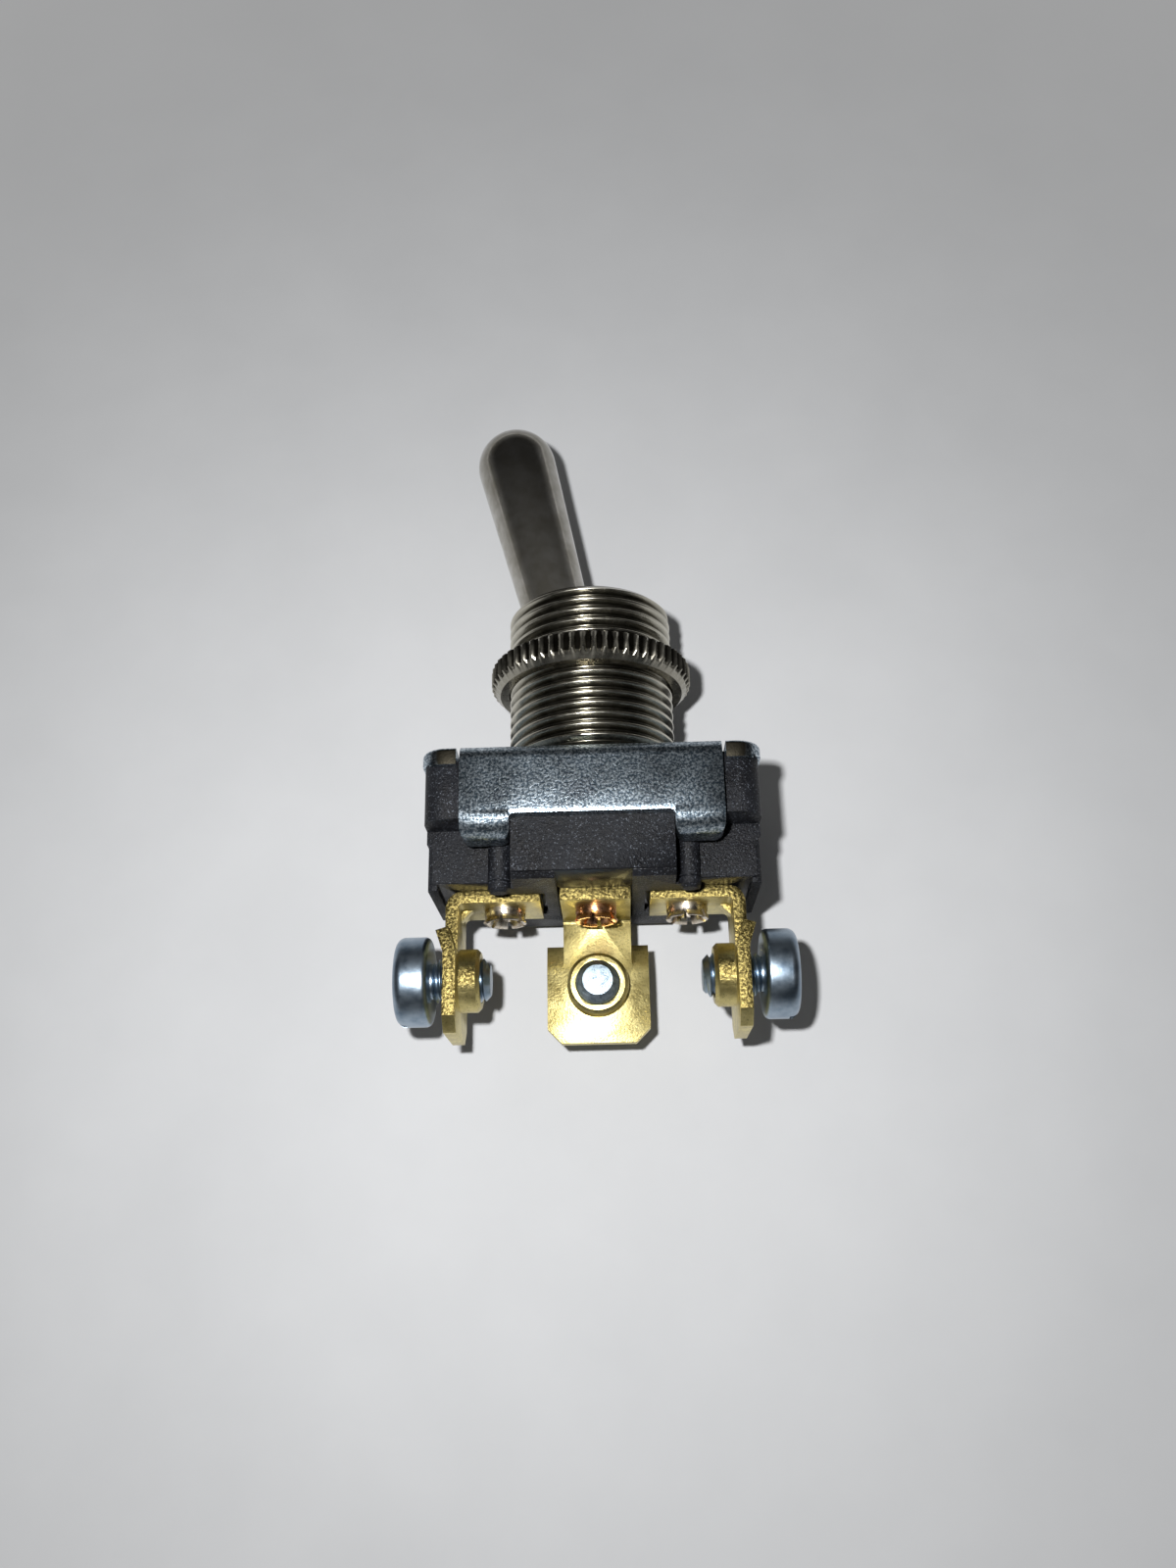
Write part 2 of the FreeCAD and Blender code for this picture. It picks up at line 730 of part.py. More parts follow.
def make_screw(point_to, seat):
    """Clamp screw with a bevelled head, its seat face at a point and its tip pointing along a direction."""
    screw = turned((0, screw_length), [
        (0, -screw_head_height),
        (screw_head_radius - 2 * screw_head_edge, -screw_head_height),
        (screw_head_radius, screw_head_edge - screw_head_height),
        (screw_head_radius, -screw_head_edge / 2),
        (screw_head_radius - screw_head_edge / 2, 0),
        (screw_radius, 0),
        (screw_radius, screw_length - screw_tip_chamfer),
        (screw_radius - screw_tip_chamfer, screw_length),
    ])
    depth = (-screw_head_height - past, -screw_head_height + slot_depth)
    slot = block((-screw_head_radius - past, screw_head_radius + past), depth, (-slot_width / 2, slot_width / 2))
    cross = block((-slot_width / 2, slot_width / 2), depth, (-cross_length / 2, cross_length / 2))
    screw = carved(screw, [slot, cross])
    screw.Placement = FreeCAD.Placement(seat, FreeCAD.Rotation(Y_AXIS, point_to))
    return screw


def save(name, shape):
    """Write one piece, moved so that the origin lies where the free thread starts."""
    placed = shape.copy()
    placed.translate(Vector(0, -free_thread_start, 0))
    placed.exportStep("parts/" + name + ".step")


def main():
    os.makedirs("parts", exist_ok=True)
    left_seat = Vector(-tab_outside_x - left_screw_gap, collar_y, 0)
    right_seat = Vector(tab_outside_x + right_screw_gap, collar_y, 0)
    centre_seat = Vector(0, collar_y, -rivet_from_tab - centre_screw_gap)
    pieces = {
        "case": make_case(),
        "bracket": make_bracket(),
        "insulator_sheet": make_insulator(),
        "bushing": make_bushing(),
        "ring_nut": make_ring_nut(),
        "lever": make_lever(),
        "pivot_pin": make_pivot_pin(),
        "plunger": make_plunger(),
        "plunger_spring": make_plunger_spring(),
        "contact_rocker": make_contact_rocker(),
        "moving_contact_left": make_moving_contact(-1),
        "moving_contact_right": make_moving_contact(1),
        "rocker_saddle": make_rocker_saddle(),
        "fixed_contact_left": make_fixed_contact(-1),
        "fixed_contact_right": make_fixed_contact(1),
        "rivet_left": make_rivet(-rivet_x, -floor_drop),
        "rivet_centre": make_rivet(0.0, -floor_drop + saddle_thickness),
        "rivet_right": make_rivet(rivet_x, -floor_drop),
        "terminal_left": placed_terminal(180, -rivet_x),
        "terminal_centre": placed_terminal(90, 0.0),
        "terminal_right": placed_terminal(0, rivet_x),
        "screw_left": make_screw(X_AXIS, left_seat),
        "screw_centre": make_screw(Z_AXIS, centre_seat),
        "screw_right": make_screw(-X_AXIS, right_seat),
    }
    for name, shape in pieces.items():
        save(name, shape)
        print(name, "solids", len(shape.Solids), "valid", shape.isValid(), "volume", round(shape.Volume, 2))


main()
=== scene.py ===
import json
import logging
import math
from dataclasses import dataclass
from enum import Enum
from typing import Callable, Sequence

import bpy
from mathutils import Matrix, Vector

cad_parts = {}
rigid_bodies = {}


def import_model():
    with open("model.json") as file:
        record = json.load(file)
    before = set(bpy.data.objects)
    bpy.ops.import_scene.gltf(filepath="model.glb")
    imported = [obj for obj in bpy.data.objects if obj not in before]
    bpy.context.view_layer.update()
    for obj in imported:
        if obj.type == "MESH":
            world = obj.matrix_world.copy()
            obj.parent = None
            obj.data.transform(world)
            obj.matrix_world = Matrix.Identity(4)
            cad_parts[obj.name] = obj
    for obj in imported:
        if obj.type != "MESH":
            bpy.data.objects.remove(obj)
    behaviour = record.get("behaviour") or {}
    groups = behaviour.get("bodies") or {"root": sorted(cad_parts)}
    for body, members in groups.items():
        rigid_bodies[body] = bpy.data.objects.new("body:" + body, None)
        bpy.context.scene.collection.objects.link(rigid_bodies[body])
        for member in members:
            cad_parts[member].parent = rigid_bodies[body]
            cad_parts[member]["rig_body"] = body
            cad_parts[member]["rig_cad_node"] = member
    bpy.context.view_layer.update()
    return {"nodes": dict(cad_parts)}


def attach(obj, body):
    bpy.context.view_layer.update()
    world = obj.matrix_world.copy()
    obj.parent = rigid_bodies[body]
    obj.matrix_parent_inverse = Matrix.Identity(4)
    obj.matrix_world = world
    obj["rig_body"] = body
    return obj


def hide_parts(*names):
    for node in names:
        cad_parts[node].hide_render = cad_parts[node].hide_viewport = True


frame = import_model()

# Sizes are in millimetres until they reach Blender. The origin lies on the bushing's axis, where
# the free thread starts. X runs along the case, Y along the bushing towards the lever, and Z out
# of the front flap.

MM = 0.001
WELD = 0.0005  # points closer than this are joined
TRIM = 0.0001  # slack of a flat cut
SLACK = 0.01  # slack when points are picked by their place
BACKDROP = 0.60  # brightness of the background
SENSOR_WIDTH = 36.0
FRAME_HEIGHT = 1600.0
log = logging.getLogger("toggle_switch")

Object = bpy.types.Object
Material = bpy.types.Material
Socket = bpy.types.NodeSocket
Colour = tuple[float, float, float]
Point = tuple[float, float, float]
Span = tuple[float, float]
Profile = Sequence[Span]

FULL: Span = (0.0, 1.0)
MIDTONES: Span = (0.3, 0.7)  # where most of a noise's values lie


class Body(Enum):
    """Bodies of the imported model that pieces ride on."""

    HOUSING = "housing"
    TOGGLE = "toggle"
    NUT = "nut"
    LEFT_CLAMP = "left_clamp"
    CENTRE_CLAMP = "centre_clamp"
    RIGHT_CLAMP = "right_clamp"


class Slot(Enum):
    """Material slots of the record that new pieces belong to."""

    MOULDING = "moulding"
    ZINC_SHEET = "zinc_sheet"
    NICKEL = "nickel"
    LEVER_NICKEL = "lever_nickel"
    BRASS = "brass"
    RIVET_TIN = "rivet_tin"
    RIVET_COPPER = "rivet_copper"
    ZINC_SCREW = "zinc_screw"


class Axis(Enum):
    """Numbers of the object coordinates."""

    X = 0
    Y = 1


class Way(Enum):
    """Directions that pieces are turned to or that faces look in."""

    PLUS_X = (1.0, 0.0, 0.0)
    MINUS_X = (-1.0, 0.0, 0.0)
    PLUS_Z = (0.0, 0.0, 1.0)


# Work at the bench


def deselect_all() -> None:
    """Go to object mode and leave nothing selected."""
    if bpy.context.object and bpy.context.object.mode != "OBJECT":
        bpy.ops.object.mode_set(mode="OBJECT")
    bpy.ops.object.select_all(action="DESELECT")


def pick(piece: Object) -> None:
    """Select one piece alone and make it active."""
    deselect_all()
    piece.select_set(True)
    bpy.context.view_layer.objects.active = piece


def open_mesh(piece: Object) -> None:
    """Go into edit mode on one piece with everything selected."""
    pick(piece)
    bpy.ops.object.mode_set(mode="EDIT")
    bpy.ops.mesh.select_mode(type="VERT")
    bpy.ops.mesh.select_all(action="SELECT")


def close_mesh() -> None:
    """Turn every face outwards and go back to object mode."""
    bpy.ops.mesh.select_all(action="SELECT")
    bpy.ops.mesh.normals_make_consistent(inside=False)
    bpy.ops.object.mode_set(mode="OBJECT")


def choose(piece: Object, test: Callable[[Vector], bool]) -> None:
    """Select only the vertices that pass a test, and stay in edit mode.

    Args:
        piece: the piece, in edit mode.
        test: says of a vertex's place whether it is selected.
    """
    bpy.ops.mesh.select_all(action="DESELECT")
    bpy.ops.object.mode_set(mode="OBJECT")
    for vertex in piece.data.vertices:
        vertex.select = test(vertex.co)
    bpy.ops.object.mode_set(mode="EDIT")


def new_piece(name: str) -> Object:
    """Name the primitive just added and put its place into its mesh.

    Args:
        name: name for the object and its mesh.

    Returns:
        The object, at the origin, unturned and unscaled.
    """
    piece = bpy.context.object
    piece.name = name
    piece.data.name = name
    bpy.ops.object.transform_apply(location=True, rotation=True, scale=True)
    return piece


def apply(piece: Object, modifier: bpy.types.Modifier) -> None:
    """Apply one modifier to a piece."""
    pick(piece)
    bpy.ops.object.modifier_apply(modifier=modifier.name)


def smooth(piece: Object, degrees: float) -> Object:
    """Shade a piece smooth except across edges sharper than an angle."""
    pick(piece)
    bpy.ops.object.shade_smooth_by_angle(angle=math.radians(degrees))
    return piece


def turned(name: str, profile: Profile, sides: int, joined: bool = False) -> Object:
    """Turn a profile about Y: a circle is extruded and scaled from each point to the next.

    Args:
        name: name of the piece.
        profile: (radius, height) points; only the last may lie on the axis.
        sides: sides of the circle.
        joined: whether the profile closes on its first point, as a ring's does.

    Returns:
        The closed piece.
    """
    deselect_all()
    radius, height = profile[0]
    bpy.ops.mesh.primitive_circle_add(
        vertices=sides, radius=radius * MM, location=(0, height * MM, 0), rotation=(math.pi / 2, 0, 0)
    )
    piece = new_piece(name)
    open_mesh(piece)
    for next_radius, next_height in profile[1:]:
        rise = (next_height - height) * MM
        bpy.ops.mesh.extrude_region_move(TRANSFORM_OT_translate={"value": (0, rise, 0)})
        if next_radius == 0:
            bpy.ops.mesh.merge(type="CENTER")
            break
        ratio = next_radius / radius
        middle = (0, next_height * MM, 0)
        bpy.ops.transform.resize(value=(ratio, 1, ratio), center_override=middle)
        radius, height = next_radius, next_height
    bpy.ops.mesh.select_all(action="SELECT")
    if joined:
        bpy.ops.mesh.remove_doubles(threshold=WELD * MM)
    else:
        bpy.ops.mesh.fill_holes(sides=0)
    close_mesh()
    return piece


def arc(centre: Span, radius: float, start: float, end: float, steps: int) -> list[Span]:
    """Points of a profile on an arc.

    Args:
        centre: (radius, height) of the arc's centre.
        radius: radius of the arc.
        start: first angle in degrees, from the radial direction towards +Y.
        end: last angle in degrees.
        steps: number of chords.

    Returns:
        The points, both ends among them.
    """
    points = []
    for i in range(steps + 1):
        angle = math.radians(start + (end - start) * i / steps)
        points.append((centre[0] + radius * math.cos(angle), centre[1] + radius * math.sin(angle)))
    return points


def block(name: str, low: Point, high: Point) -> Object:
    """Box between two corners, for cutting with.

    Args:
        name: name of the piece.
        low: lowest corner.
        high: highest corner.

    Returns:
        The closed piece.
    """
    deselect_all()
    middle = [(a + b) / 2 * MM for a, b in zip(low, high)]
    span = [(b - a) * MM for a, b in zip(low, high)]
    bpy.ops.mesh.primitive_cube_add(size=1, location=middle, scale=span)
    return new_piece(name)


def cut(piece: Object, tool: Object, operation: str = "DIFFERENCE") -> Object:
    """Cut a piece with another one, which is used up.

    Args:
        piece: the piece that stays.
        tool: the piece that cuts.
        operation: DIFFERENCE or INTERSECT.

    Returns:
        The piece.
    """
    modifier = piece.modifiers.new("cut", "BOOLEAN")
    modifier.operation = operation
    modifier.object = tool
    modifier.solver = "EXACT"
    apply(piece, modifier)
    bpy.data.objects.remove(tool, do_unlink=True)
    return piece


def thread_rod(name: str, crest: float, pitch: float, low: float, high: float, steps: int) -> Object:
    """Rod with a right-hand 60 degree thread about Y, its crests and roots rounded by rolling.

    Args:
        name: name of the piece.
        crest: radius of the crests.
        pitch: rise of one turn.
        low: height of the lower end.
        high: height of the upper end.
        steps: steps in one turn.

    Returns:
        The closed piece, cut flat at both ends.
    """
    deselect_all()
    crest_round, root_round = pitch * 0.17, pitch * 0.13
    flank = pitch / 2 - (crest_round + root_round) * math.sin(math.radians(60))
    depth = flank / math.tan(math.radians(30))
    start = ((crest - crest_round / 2 - depth) * MM, (low - pitch) * MM, 0)
    bpy.ops.mesh.primitive_plane_add(size=0.1 * MM, location=start)
    piece = new_piece(name)
    open_mesh(piece)
    bpy.ops.mesh.merge(type="CENTER")
    crown = arc((0.0, 0.0), crest_round, -60.0, 60.0, 6)
    hollow = arc((0.0, 0.0), root_round, -120.0, -240.0, 6)
    over, under = ([(b[0] - a[0], b[1] - a[1]) for a, b in zip(c, c[1:])] for c in (crown, hollow))
    for out, rise in [*under, (depth, flank), *over, (-depth, flank)]:
        bpy.ops.mesh.extrude_vertices_move(TRANSFORM_OT_translate={"value": (out * MM, rise * MM, 0)})
    bpy.ops.object.mode_set(mode="OBJECT")
    sweep = piece.modifiers.new("sweep", "SCREW")
    sweep.axis = "Y"
    sweep.screw_offset = pitch * MM
    sweep.iterations = math.ceil((high - low) / pitch) + 2
    sweep.steps = steps
    sweep.render_steps = steps
    apply(piece, sweep)
    open_mesh(piece)
    bpy.ops.mesh.remove_doubles(threshold=WELD * MM)
    for height, inner in ((low, True), (high, False)):
        bpy.ops.mesh.select_all(action="SELECT")
        bpy.ops.mesh.bisect(
            plane_co=(0, height * MM, 0), plane_no=(0, 1, 0), use_fill=True,
            clear_inner=inner, clear_outer=not inner, threshold=TRIM * MM,
        )
    close_mesh()
    return piece


def duplicate(piece: Object, name: str) -> Object:
    """Copy of a piece under a new name, with its own mesh."""
    pick(piece)
    bpy.ops.object.duplicate(linked=False)
    twin = bpy.context.object
    twin.name = name
    return twin


def softened(node: str, width: float, cutters: Sequence[Object] = ()) -> Object:
    """Copy of a CAD node with its flat faces joined and its sharp edges rounded.

    Args:
        node: name of the CAD node.
        width: width of the rounding.
        cutters: pieces that are cut out of it before it is rounded.

    Returns:
        The piece.
    """
    piece = duplicate(frame["nodes"][node], node + "_edges")
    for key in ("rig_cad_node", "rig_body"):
        piece.pop(key, None)
    piece.parent = None
    open_mesh(piece)
    bpy.ops.mesh.remove_doubles(threshold=WELD * MM)
    bpy.ops.mesh.dissolve_limited(angle_limit=math.radians(0.5))
    bpy.ops.object.mode_set(mode="OBJECT")
    for tool in cutters:
        cut(piece, tool)
    rounding = piece.modifiers.new("rounding", "BEVEL")
    rounding.width = width * MM
    rounding.segments = 2
    rounding.limit_method = "ANGLE"
    rounding.angle_limit = math.radians(40.0)
    rounding.use_clamp_overlap = True
    apply(piece, rounding)
    return smooth(piece, 35.0)


# Finishes


class Surface:
    """Node tree of one material, grown node by node round a single shader."""

    def __init__(self, name: str, roughness: float = 0.3, metallic: float = 1.0, specular: float = 0.5) -> None:
        """Start a material.

        Args:
            name: name of the material.
            roughness: roughness of its shader where it doesn't vary.
            metallic: 1 for metal, 0 for anything else.
            specular: specular level of its shader.
        """
        self.material = bpy.data.materials.new(name)
        self.material.use_nodes = True
        self.tree = self.material.node_tree
        self.shader = self.tree.nodes["Principled BSDF"]
        self.shader.inputs["Metallic"].default_value = metallic
        self.shader.inputs["Roughness"].default_value = roughness
        self.shader.inputs["Specular IOR Level"].default_value = specular
        self.source = self.tree.nodes.new("ShaderNodeTexCoord")
        self.place = self.source.outputs["Object"]

    def node(self, kind: str, inputs: dict | None = None, **settings: object) -> bpy.types.Node:
        """Add a node.

        Args:
            kind: type of the node.
            inputs: values or sockets by input name or number.
            settings: properties of the node.

        Returns:
            The node.
        """
        node = self.tree.nodes.new(kind)
        for key, value in settings.items():
            setattr(node, key, value)
        for key, value in (inputs or {}).items():
            if isinstance(value, Socket):
                self.tree.links.new(value, node.inputs[key])
            else:
                node.inputs[key].default_value = value
        return node

    def wire(self, name: str, value: Socket) -> None:
        """Connect a value to an input of the shader."""
        self.tree.links.new(value, self.shader.inputs[name])

    def spread(self, stretch: Point, offset: Point = (0, 0, 0)) -> Socket:
        """Object coordinates multiplied by a stretch and then moved by an offset in metres."""
        inputs = {"Vector": self.place, "Scale": stretch, "Location": offset}
        return self.node("ShaderNodeMapping", inputs).outputs["Vector"]

    def noise(self, size: float, detail: float, rough: float, stretch: Point | None = None) -> Socket:
        """Noise whose spots are about a size in millimetres, drawn out where the stretch is small."""
        vector = self.spread(stretch) if stretch else self.place
        inputs = {"Vector": vector, "Scale": 1 / (size * MM), "Detail": detail, "Roughness": rough}
        return self.node("ShaderNodeTexNoise", inputs).outputs["Fac"]

    def calc(self, operation: str, first: Socket | float, second: Socket | float) -> Socket:
        """Result of one arithmetic operation."""
        return self.node("ShaderNodeMath", {0: first, 1: second}, operation=operation).outputs[0]

    def remap(self, value: Socket, span: Span = MIDTONES, to: Span = FULL) -> Socket:
        """Value taken from one span to another, held at its ends."""
        inputs = {"Value": value, "From Min": span[0], "From Max": span[1], "To Min": to[0], "To Max": to[1]}
        return self.node("ShaderNodeMapRange", inputs, clamp=True).outputs["Result"]

    def times(self, first: Socket, second: Socket | float) -> Socket:
        """Product of two values."""
        return self.calc("MULTIPLY", first, second)

    def blend(self, share: Socket, first: Socket | Colour, second: Socket | Colour) -> Socket:
        """Mix of two colours."""
        one, two = (value if isinstance(value, Socket) else (*value, 1.0) for value in (first, second))
        return self.node("ShaderNodeMix", {0: share, 6: one, 7: two}, data_type="RGBA").outputs[2]

    def mottle(self, pattern: Socket, dark: Colour, light: Colour, span: Span = MIDTONES) -> Socket:
        """Two colours laid out by a pattern."""
        return self.blend(self.remap(pattern, span), dark, light)

    def facing(self, way: Way) -> Socket:
        """How far a face looks in a direction or against it, from 0 to 1."""
        inputs = {0: self.source.outputs["Normal"], 1: way.value}
        dot = self.node("ShaderNodeVectorMath", inputs, operation="DOT_PRODUCT")
        return self.calc("ABSOLUTE", dot.outputs["Value"], 0.0)

    def height_on(self, axis: Axis) -> Socket:
        """One object coordinate in metres."""
        return self.node("ShaderNodeSeparateXYZ", {0: self.place}).outputs[axis.value]

    def length(self, vector: Socket) -> Socket:
        """Length of a vector in metres."""
        return self.node("ShaderNodeVectorMath", {0: vector}, operation="LENGTH").outputs["Value"]

    def bump(self, height: Socket, depth: float, under: Socket | None = None) -> Socket:
        """Relief whose full height is a depth in millimetres.

        Args:
            height: height from 0 to 1.
            depth: the height of 1 in millimetres.
            under: relief below this one.

        Returns:
            The normal.
        """
        inputs = {"Height": height, "Distance": depth * MM, "Strength": 1.0}
        if under is not None:
            inputs["Normal"] = under
        return self.node("ShaderNodeBump", inputs).outputs["Normal"]

    def finish(self, colour: Socket, normal: Socket | None = None, rough: Socket | None = None) -> Material:
        """Connect colour, relief and roughness to the shader.

        Args:
            colour: base colour.
            normal: relief.
            rough: roughness where it varies.

        Returns:
            The material.
        """
        for name, value in (("Base Color", colour), ("Normal", normal), ("Roughness", rough)):
            if value is not None:
                self.wire(name, value)
        return self.material


@dataclass(frozen=True)
class GritMoulding:
    """Filled black moulding, gritty, with painted glints as pale specks and smooth terminal pockets."""

    name: str = "case_moulding"
    dark: Colour = (0.003, 0.003, 0.004)
    light: Colour = (0.009, 0.010, 0.013)
    # colour of the painted glints of the grit
    glint_colour: Colour = (0.13, 0.145, 0.17)
    grit: float = 0.20
    grit_depth: float = 0.09
    dust: float = 2.4
    line: float = 0.22
    line_depth: float = 0.015
    rough: Span = (0.42, 0.58)
    specular: float = 0.20
    pocket_floor: float = -17.2
    pocket_edge: Span = (0.02, 0.06)
    pocket_rough: float = 0.45

    def material(self) -> Material:
        """Material of the case."""
        surface = Surface(self.name, metallic=0.0, specular=self.specular)
        start, end = self.pocket_edge
        below = surface.calc("SUBTRACT", surface.height_on(Axis.Y), self.pocket_floor * MM)
        skin = surface.remap(surface.calc("ABSOLUTE", below, 0.0), (start * MM, end * MM))
        grit = surface.noise(self.grit, 3.0, 0.65)
        dust = surface.noise(self.dust, 3.0, 0.6)
        lines = surface.noise(self.line, 2.0, 0.5, stretch=(0.10, 1.0, 1.0))
        # painted glints: pale specks where this noise is high, kept off the pocket floors
        glint_noise = surface.noise(self.grit * 0.6, 2.0, 0.7)
        painted_glints = surface.times(surface.remap(glint_noise, (0.60, 0.72)), skin)
        mottle = surface.mottle(dust, self.dark, self.light, (0.35, 0.65))
        colour = surface.blend(painted_glints, mottle, self.glint_colour)
        relief = surface.bump(surface.times(lines, skin), self.line_depth)
        relief = surface.bump(surface.times(grit, skin), self.grit_depth, relief)
        skin_rough = surface.remap(dust, to=self.rough)
        rough = surface.times(skin_rough, surface.remap(skin, FULL, (self.pocket_rough, 1.0)))
        return surface.finish(colour, relief, rough)


@dataclass(frozen=True)
class SparkleZinc:
    """Zinc-plated sheet with fine bluish crystals, partly painted glints, and brown sheared edges on its ears.
    """

    name: str = "zinc_sheet"
    # crystal colours; the bright one is partly a painted glint
    dull: Colour = (0.12, 0.165, 0.21)
    bright: Colour = (0.78, 0.88, 0.95)
    sheared: Colour = (0.030, 0.027, 0.020)
    crystal: float = 0.17
    crystal_span: Span = (0.44, 0.61)
    crystal_depth: float = 0.022
    cloud: float = 2.6
    cloud_share: float = 0.22
    rough: Span = (0.24, 0.34)
    sheared_rough: float = 0.5
    ear_from: float = 8.75
    ear_blend: float = 0.1

    def material(self) -> Material:
        """Material of the bracket."""
        surface = Surface(self.name)
        crystals = surface.noise(self.crystal, 3.0, 0.7)
        cloud = surface.noise(self.cloud, 4.0, 0.6)
        # partly painted glints: the crystal pattern lays out dull and bright colours for the crystals' own tone
        # and their sparkle
        colour = surface.mottle(crystals, self.dull, self.bright, self.crystal_span)
        colour = surface.blend(surface.remap(cloud, to=(0.0, self.cloud_share)), colour, self.dull)
        out = surface.calc("ABSOLUTE", surface.height_on(Axis.X), 0.0)
        ear = surface.remap(out, (self.ear_from * MM, (self.ear_from + self.ear_blend) * MM))
        front = surface.remap(surface.facing(Way.PLUS_Z), (0.75, 0.95))
        edge = surface.times(ear, front)
        colour = surface.blend(edge, colour, self.sheared)
        relief = surface.bump(crystals, self.crystal_depth)
        plated_rough = surface.remap(cloud, to=self.rough)
        rough = surface.calc("MAXIMUM", plated_rough, surface.times(edge, self.sheared_rough))
        return surface.finish(colour, relief, rough)


@dataclass(frozen=True)
class NickelPlate:
    """Warm nickel plate with turning marks and painted shade in the valleys of a thread or knurl."""

    name: str
    valley: float
    crest: float
    # below this height the painted valley shade is lifted to at least plain_share
    plain_below: float = -100.0
    bright: Colour = (0.64, 0.61, 0.52)
    # colour of the painted shade at the bottom of the valleys
    dark: Colour = (0.16, 0.15, 0.12)
    rough: Span = (0.16, 0.28)
    plain_share: float = 0.8
    worn_share: float = 0.70
    cloud: float = 0.9
    mark: float = 0.05
    mark_depth: float = 0.003

    def material(self) -> Material:
        """Material of the bushing or the ring nut."""
        surface = Surface(self.name)
        # painted shade: darker from the crests down into the valleys, by radius, and randomly darker still
        # under the cloud
        radius = surface.length(surface.spread((1, 0, 1)))
        height = surface.remap(radius, (self.valley * MM, self.crest * MM))
        plain = surface.calc("LESS_THAN", surface.height_on(Axis.Y), self.plain_below * MM)
        height = surface.calc("MAXIMUM", height, surface.times(plain, self.plain_share))
        cloud = surface.noise(self.cloud, 4.0, 0.6)
        valley_shade_and_wear = surface.times(height, surface.remap(cloud, to=(self.worn_share, 1.0)))
        marks = surface.noise(self.mark, 2.0, 0.5, stretch=(0.15, 1.0, 0.15))
        relief = surface.bump(marks, self.mark_depth)
        return surface.finish(
            surface.blend(valley_shade_and_wear, self.dark, self.bright), relief, surface.remap(cloud, to=self.rough)
        )


@dataclass(frozen=True)
class MirrorNickel:
    """Dark bright nickel of the lever, with small pits and a thin haze, thicker low down."""

    name: str = "lever_nickel"
    bright: Colour = (0.52, 0.50, 0.46)
    dark: Colour = (0.34, 0.32, 0.27)
    hazy_part: Span = (4.0, 17.0)
    metal_share: Span = (0.895, 0.995)
    haze: float = 1.6
    pit: float = 0.14
    pit_depth: float = 0.004
    rough: Span = (0.20, 0.11)

    def material(self) -> Material:
        """Material of the lever."""
        surface = Surface(self.name)
        low, high = self.hazy_part
        clear = surface.remap(surface.height_on(Axis.Y), (low * MM, high * MM), self.metal_share)
        surface.wire("Metallic", clear)
        haze = surface.noise(self.haze, 5.0, 0.65)
        pits = surface.noise(self.pit, 2.0, 0.5)
        colour = surface.mottle(haze, self.dark, self.bright, (0.35, 0.65))
        relief = surface.bump(surface.remap(pits, (0.24, 0.42)), self.pit_depth)
        return surface.finish(colour, relief, surface.remap(haze, to=self.rough))


@dataclass(frozen=True)
class RolledBrass:
    """Rolled yellow brass, grainy and darker on the sheared edges of the strip."""

    name: str
    edge_way: Way
    end_above: float | None = None
    bright: Colour = (0.76, 0.66, 0.30)
    dark: Colour = (0.42, 0.34, 0.125)
    edge_bright: Colour = (0.30, 0.24, 0.085)
    edge_dark: Colour = (0.06, 0.045, 0.015)
    edge_span: Span = (0.85, 0.97)
    cloud: float = 1.6
    grain: float = 0.16
    grain_share: float = 0.45
    grain_depth: float = 0.018
    torn: float = 0.20
    torn_depth: float = 0.06
    rough: Span = (0.34, 0.43)

    def material(self) -> Material:
        """Material of one terminal."""
        surface = Surface(self.name)
        sheared = surface.remap(surface.facing(self.edge_way), self.edge_span)
        if self.end_above is not None:
            high = surface.calc("GREATER_THAN", surface.height_on(Axis.Y), self.end_above * MM)
            front = surface.remap(surface.facing(Way.PLUS_Z), self.edge_span)
            sheared = surface.calc("MAXIMUM", sheared, surface.times(high, front))
        cloud = surface.noise(self.cloud, 4.0, 0.6)
        grain = surface.noise(self.grain, 3.0, 0.65)
        torn = surface.noise(self.torn, 3.0, 0.65)
        flat = surface.mottle(cloud, self.dark, self.bright)
        edge = surface.mottle(torn, self.edge_dark, self.edge_bright, (0.42, 0.60))
        colour = surface.blend(sheared, flat, edge)
        # painted shade: the grain's hollows are darkened towards edge_dark
        grain_hollow_shade = surface.remap(grain, (0.44, 0.34), (0.0, self.grain_share))
        colour = surface.blend(grain_hollow_shade, colour, self.edge_dark)
        relief = surface.bump(grain, self.grain_depth)
        relief = surface.bump(surface.times(torn, sheared), self.torn_depth, relief)
        return surface.finish(colour, relief, surface.remap(cloud, to=self.rough))


@dataclass(frozen=True)
class PlatedFastener:
    """Plated metal of a rivet, screw or contact, with handling marks."""

    name: str
    bright: Colour
    dark: Colour
    rough: Span = (0.20, 0.34)
    mark: float = 0.35
    relief: float = 0.004

    def material(self) -> Material:
        """Material of the fastener."""
        surface = Surface(self.name)
        cloud = surface.noise(self.mark * 2, 4.0, 0.6)
        marks = surface.noise(self.mark / 4, 3.0, 0.6)
        colour = surface.mottle(cloud, self.dark, self.bright, (0.32, 0.62))
        return surface.finish(colour, surface.bump(marks, self.relief), surface.remap(cloud, to=self.rough))


@dataclass(frozen=True)
class PlainMoulding:
    """Matte moulding or fibre sheet with a fine mottle."""

    name: str
    light: Colour
    dark: Colour
    rough: float = 0.55
    spot: float = 0.3
    relief: float = 0.01

    def material(self) -> Material:
        """Material of the plunger or the insulator."""
        surface = Surface(self.name, self.rough, metallic=0.0)
        mottle = surface.noise(self.spot, 4.0, 0.6)
        colour = surface.mottle(mottle, self.dark, self.light, (0.35, 0.65))
        return surface.finish(colour, surface.bump(mottle, self.relief))


